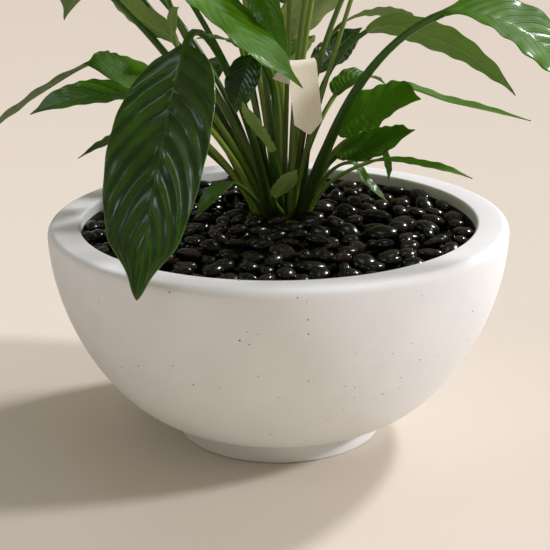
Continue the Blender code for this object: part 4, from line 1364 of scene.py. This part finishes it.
@dataclass
class PlantTag:
    """A blank card strip folded over a stalk, with a pointed end at the front."""

    fold_place: tuple = (0.030, -0.085, 0.166)
    width: float = 0.027
    front: float = 0.058
    back: float = 0.020
    fold_radius: float = 0.007
    thick: float = 0.0006
    point: float = 0.010
    point_rows: int = 8
    hang: tuple = (0.10, -0.10, -1.0)
    rear_hang: tuple = (-0.55, 0.25, -0.80)
    facing: tuple = (0.35, -0.90, 0.0)
    level: tuple = (0.93, 0.36, 0.0)
    bow: float = 0.0012

    def build(self) -> bpy.types.Object:
        """Bends the strip and gives it its thickness."""
        fold = CROWN + np.array(self.fold_place)
        down, back, ahead, level = (
            unit(np.array(way)) for way in (self.hang, self.rear_hang, self.facing, self.level))
        start, finish = fold + ahead * self.fold_radius, fold - ahead * self.fold_radius
        shoulder = 1 - self.point / self.front
        shares = np.concatenate([np.linspace(1, shoulder, self.point_rows), np.linspace(shoulder, 0, 26)[1:]])
        front = start + down * (self.front * shares)[:, None]
        angles = np.radians(np.linspace(0, 180, 16)[1:-1])
        bend = fold + self.fold_radius * (np.cos(angles)[:, None] * ahead + np.sin(angles)[:, None] * UP)
        rear = finish + back * (self.back * np.linspace(0.05, 1, 14))[:, None]
        line = np.vstack([front, bend, rear])
        heading = np.gradient(line, axis=0)
        heading /= np.linalg.norm(heading, axis=1)[:, None]
        side = level - (heading @ level)[:, None] * heading
        side /= np.linalg.norm(side, axis=1)[:, None]
        proud = np.cross(heading, side)
        half = np.full(len(line), self.width / 2)
        half[:self.point_rows] *= np.linspace(0.10, 1, self.point_rows)
        bow = self.bow * np.sin(np.linspace(0, math.pi, len(line)))
        across = np.linspace(-1, 1, 9)
        rows = []
        for sign, order in ((-1, across), (1, across[::-1])):
            out = sign * self.thick / 2 + (1 - order**2)[None, :] * bow[:, None]
            rows.append(line[:, None] + (order[None, :] * half[:, None])[:, :, None] * side[:, None]
                        + out[:, :, None] * proud[:, None])
        points, faces = skin(np.concatenate(rows, axis=1))
        piece = make_mesh("card_tag", points, faces, [Card().make()])
        piece.data.set_sharp_from_angle(angle=math.radians(50))
        settle(outward(piece), "tag", "plant_tag")
        return piece


# --- Studio --------------------------------------------------------------------------------------

@dataclass
class Studio:
    """The plain floor, the soft light and the camera."""

    eye: tuple = (0.0, -1.26895, 0.57614)
    tilt: tuple = (71.429, 0.493, -0.006)
    lens_mm: float = 91.9
    sensor_mm: float = 36.0
    room: float = 0.37
    room_mirrored: float = 0.16
    softness: float = 7.0
    aim: tuple = (0.0, 0.0, 0.25)
    floor_half: float = 14.0
    floor_below: float = -0.0005

    def floor(self) -> None:
        """A wide plain floor under the foot."""
        corners = [(self.floor_half * x, self.floor_half * y, self.floor_below)
                   for x, y in ((-1, -1), (1, -1), (1, 1), (-1, 1))]
        make_mesh("studio_floor", np.array(corners), [(0, 1, 2, 3)], [PlainSweep().make()])

    def stand(self, data: bpy.types.ID, place: tuple, turn: tuple) -> bpy.types.Object:
        """Stands a light or the camera in the studio, its turn in radians."""
        holder = bpy.data.objects.new(data.name, data)
        holder.location = place
        holder.rotation_euler = turn
        bpy.context.scene.collection.objects.link(holder)
        return holder

    def light(self, name: str, place: tuple, size: float, power: float, colour: str) -> None:
        """One soft square light, aimed at the plant.

        Args:
            name: The light's name.
            place: Where it stands.
            size: Its side.
            power: Its output in watts.
            colour: Its tint as hex.
        """
        lamp = bpy.data.lights.new(name, "AREA")
        lamp.shape, lamp.size, lamp.energy = "SQUARE", size, power
        lamp.color = linear(colour)[:3]
        way = np.array(self.aim) - np.array(place)
        flat = math.hypot(way[0], way[1])
        holder = self.stand(lamp, place, (math.atan2(flat, -way[2]), 0.0, math.atan2(-way[0], way[1])))
        holder.visible_camera = False

    def daylight(self, name: str, strength: float, height: float, way: float, mirrored: bool) -> None:
        """Daylight, softened as by a thin curtain.

        Args:
            name: The light's name.
            strength: Its strength.
            height: How high it stands, in degrees.
            way: Where it stands, in degrees from +X towards +Y.
            mirrored: Whether glossy surfaces mirror it.
        """
        lamp = bpy.data.lights.new(name, "SUN")
        lamp.energy, lamp.angle = strength, math.radians(self.softness)
        lamp.color = linear("#fbf8ff")[:3]
        holder = self.stand(lamp, (0.0, 0.0, 0.0), (math.radians(90 - height), 0.0, math.radians(90 + way)))
        holder.visible_glossy = mirrored

    def camera(self) -> None:
        """The camera, looking slightly down on the bowl's rim."""
        lens = bpy.data.cameras.new("camera")
        lens.lens, lens.sensor_width = self.lens_mm, self.sensor_mm
        turn = [math.radians(angle) for angle in self.tilt]
        bpy.context.scene.camera = self.stand(lens, self.eye, turn)

    def build(self) -> None:
        """Sets up the whole studio."""
        self.camera()
        self.floor()
        self.daylight("rear_window", 2.2, 42.0, 40.0, True)
        self.daylight("side_window", 2.3, 28.0, -3.0, False)
        self.light("overhead_softbox", (-0.25, 0.30, 2.1), 0.85, 5.2, "#dde6f6")
        self.light("front_strip", (-0.55, -1.5, 1.45), 0.40, 1.1, "#e4ecfa")
        self.light("left_strip", (-1.6, -0.25, 1.1), 0.35, 1.6, "#e6eeff")
        world = bpy.data.worlds.new("soft_room")
        world.use_nodes = True
        world.node_tree.nodes.clear()
        # The room lights evenly, but mirrors dark in glossy leaves and stones.
        path = add_node(world.node_tree, "ShaderNodeLightPath")
        strength = add_node(world.node_tree, "ShaderNodeMapRange", {"Value": path.outputs["Is Glossy Ray"]},
                            span=(0.0, 1.0, self.room, self.room_mirrored))
        sky = add_node(world.node_tree, "ShaderNodeBackground", {
            "Color": linear("#f6e9d6"), "Strength": strength})
        add_node(world.node_tree, "ShaderNodeOutputWorld", {"Surface": sky})
        bpy.context.scene.world = world
        bpy.context.scene.view_settings.view_transform = "Standard"


def main() -> None:
    Studio().build()
    PlanterBowl().build()
    dress("drainage_gravel", LooseFill("drainage_gravel", "#4c463c", "#a89f8e", 9.0).make())
    dress("potting_soil", LooseFill("potting_soil").make())
    dress("root_ball", LooseFill("root_mat", "#5a4026", "#c9b48a", 2.6, stretch=2.4).make())
    dress("crown", LooseFill("rootstock", "#31331a", "#7c7a3c", 4.0).make())
    PebbleBed().build()
    stalk_skin = StalkSkin().make()
    upper = LeafSkin().make()
    # Beneath, the margin tint is a painted sheen along the edge as well.
    lower = LeafSkin("leaf_lower_side", old="#74864a", young="#a3b66a", rib="#b4c183", margin="#b0bb78",
                     vein_shade=0.22, vein_bump=0.3, roughness=0.5, coat=0.0, through=0.40).make()
    feet = stalk_feet()
    Foliage(upper, lower, stalk_skin).build(feet[:len(LEAVES)])
    FlowerHeads(stalk_skin).build(feet[len(LEAVES):])
    PlantTag().build()
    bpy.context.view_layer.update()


if __name__ == "__main__":
    main()
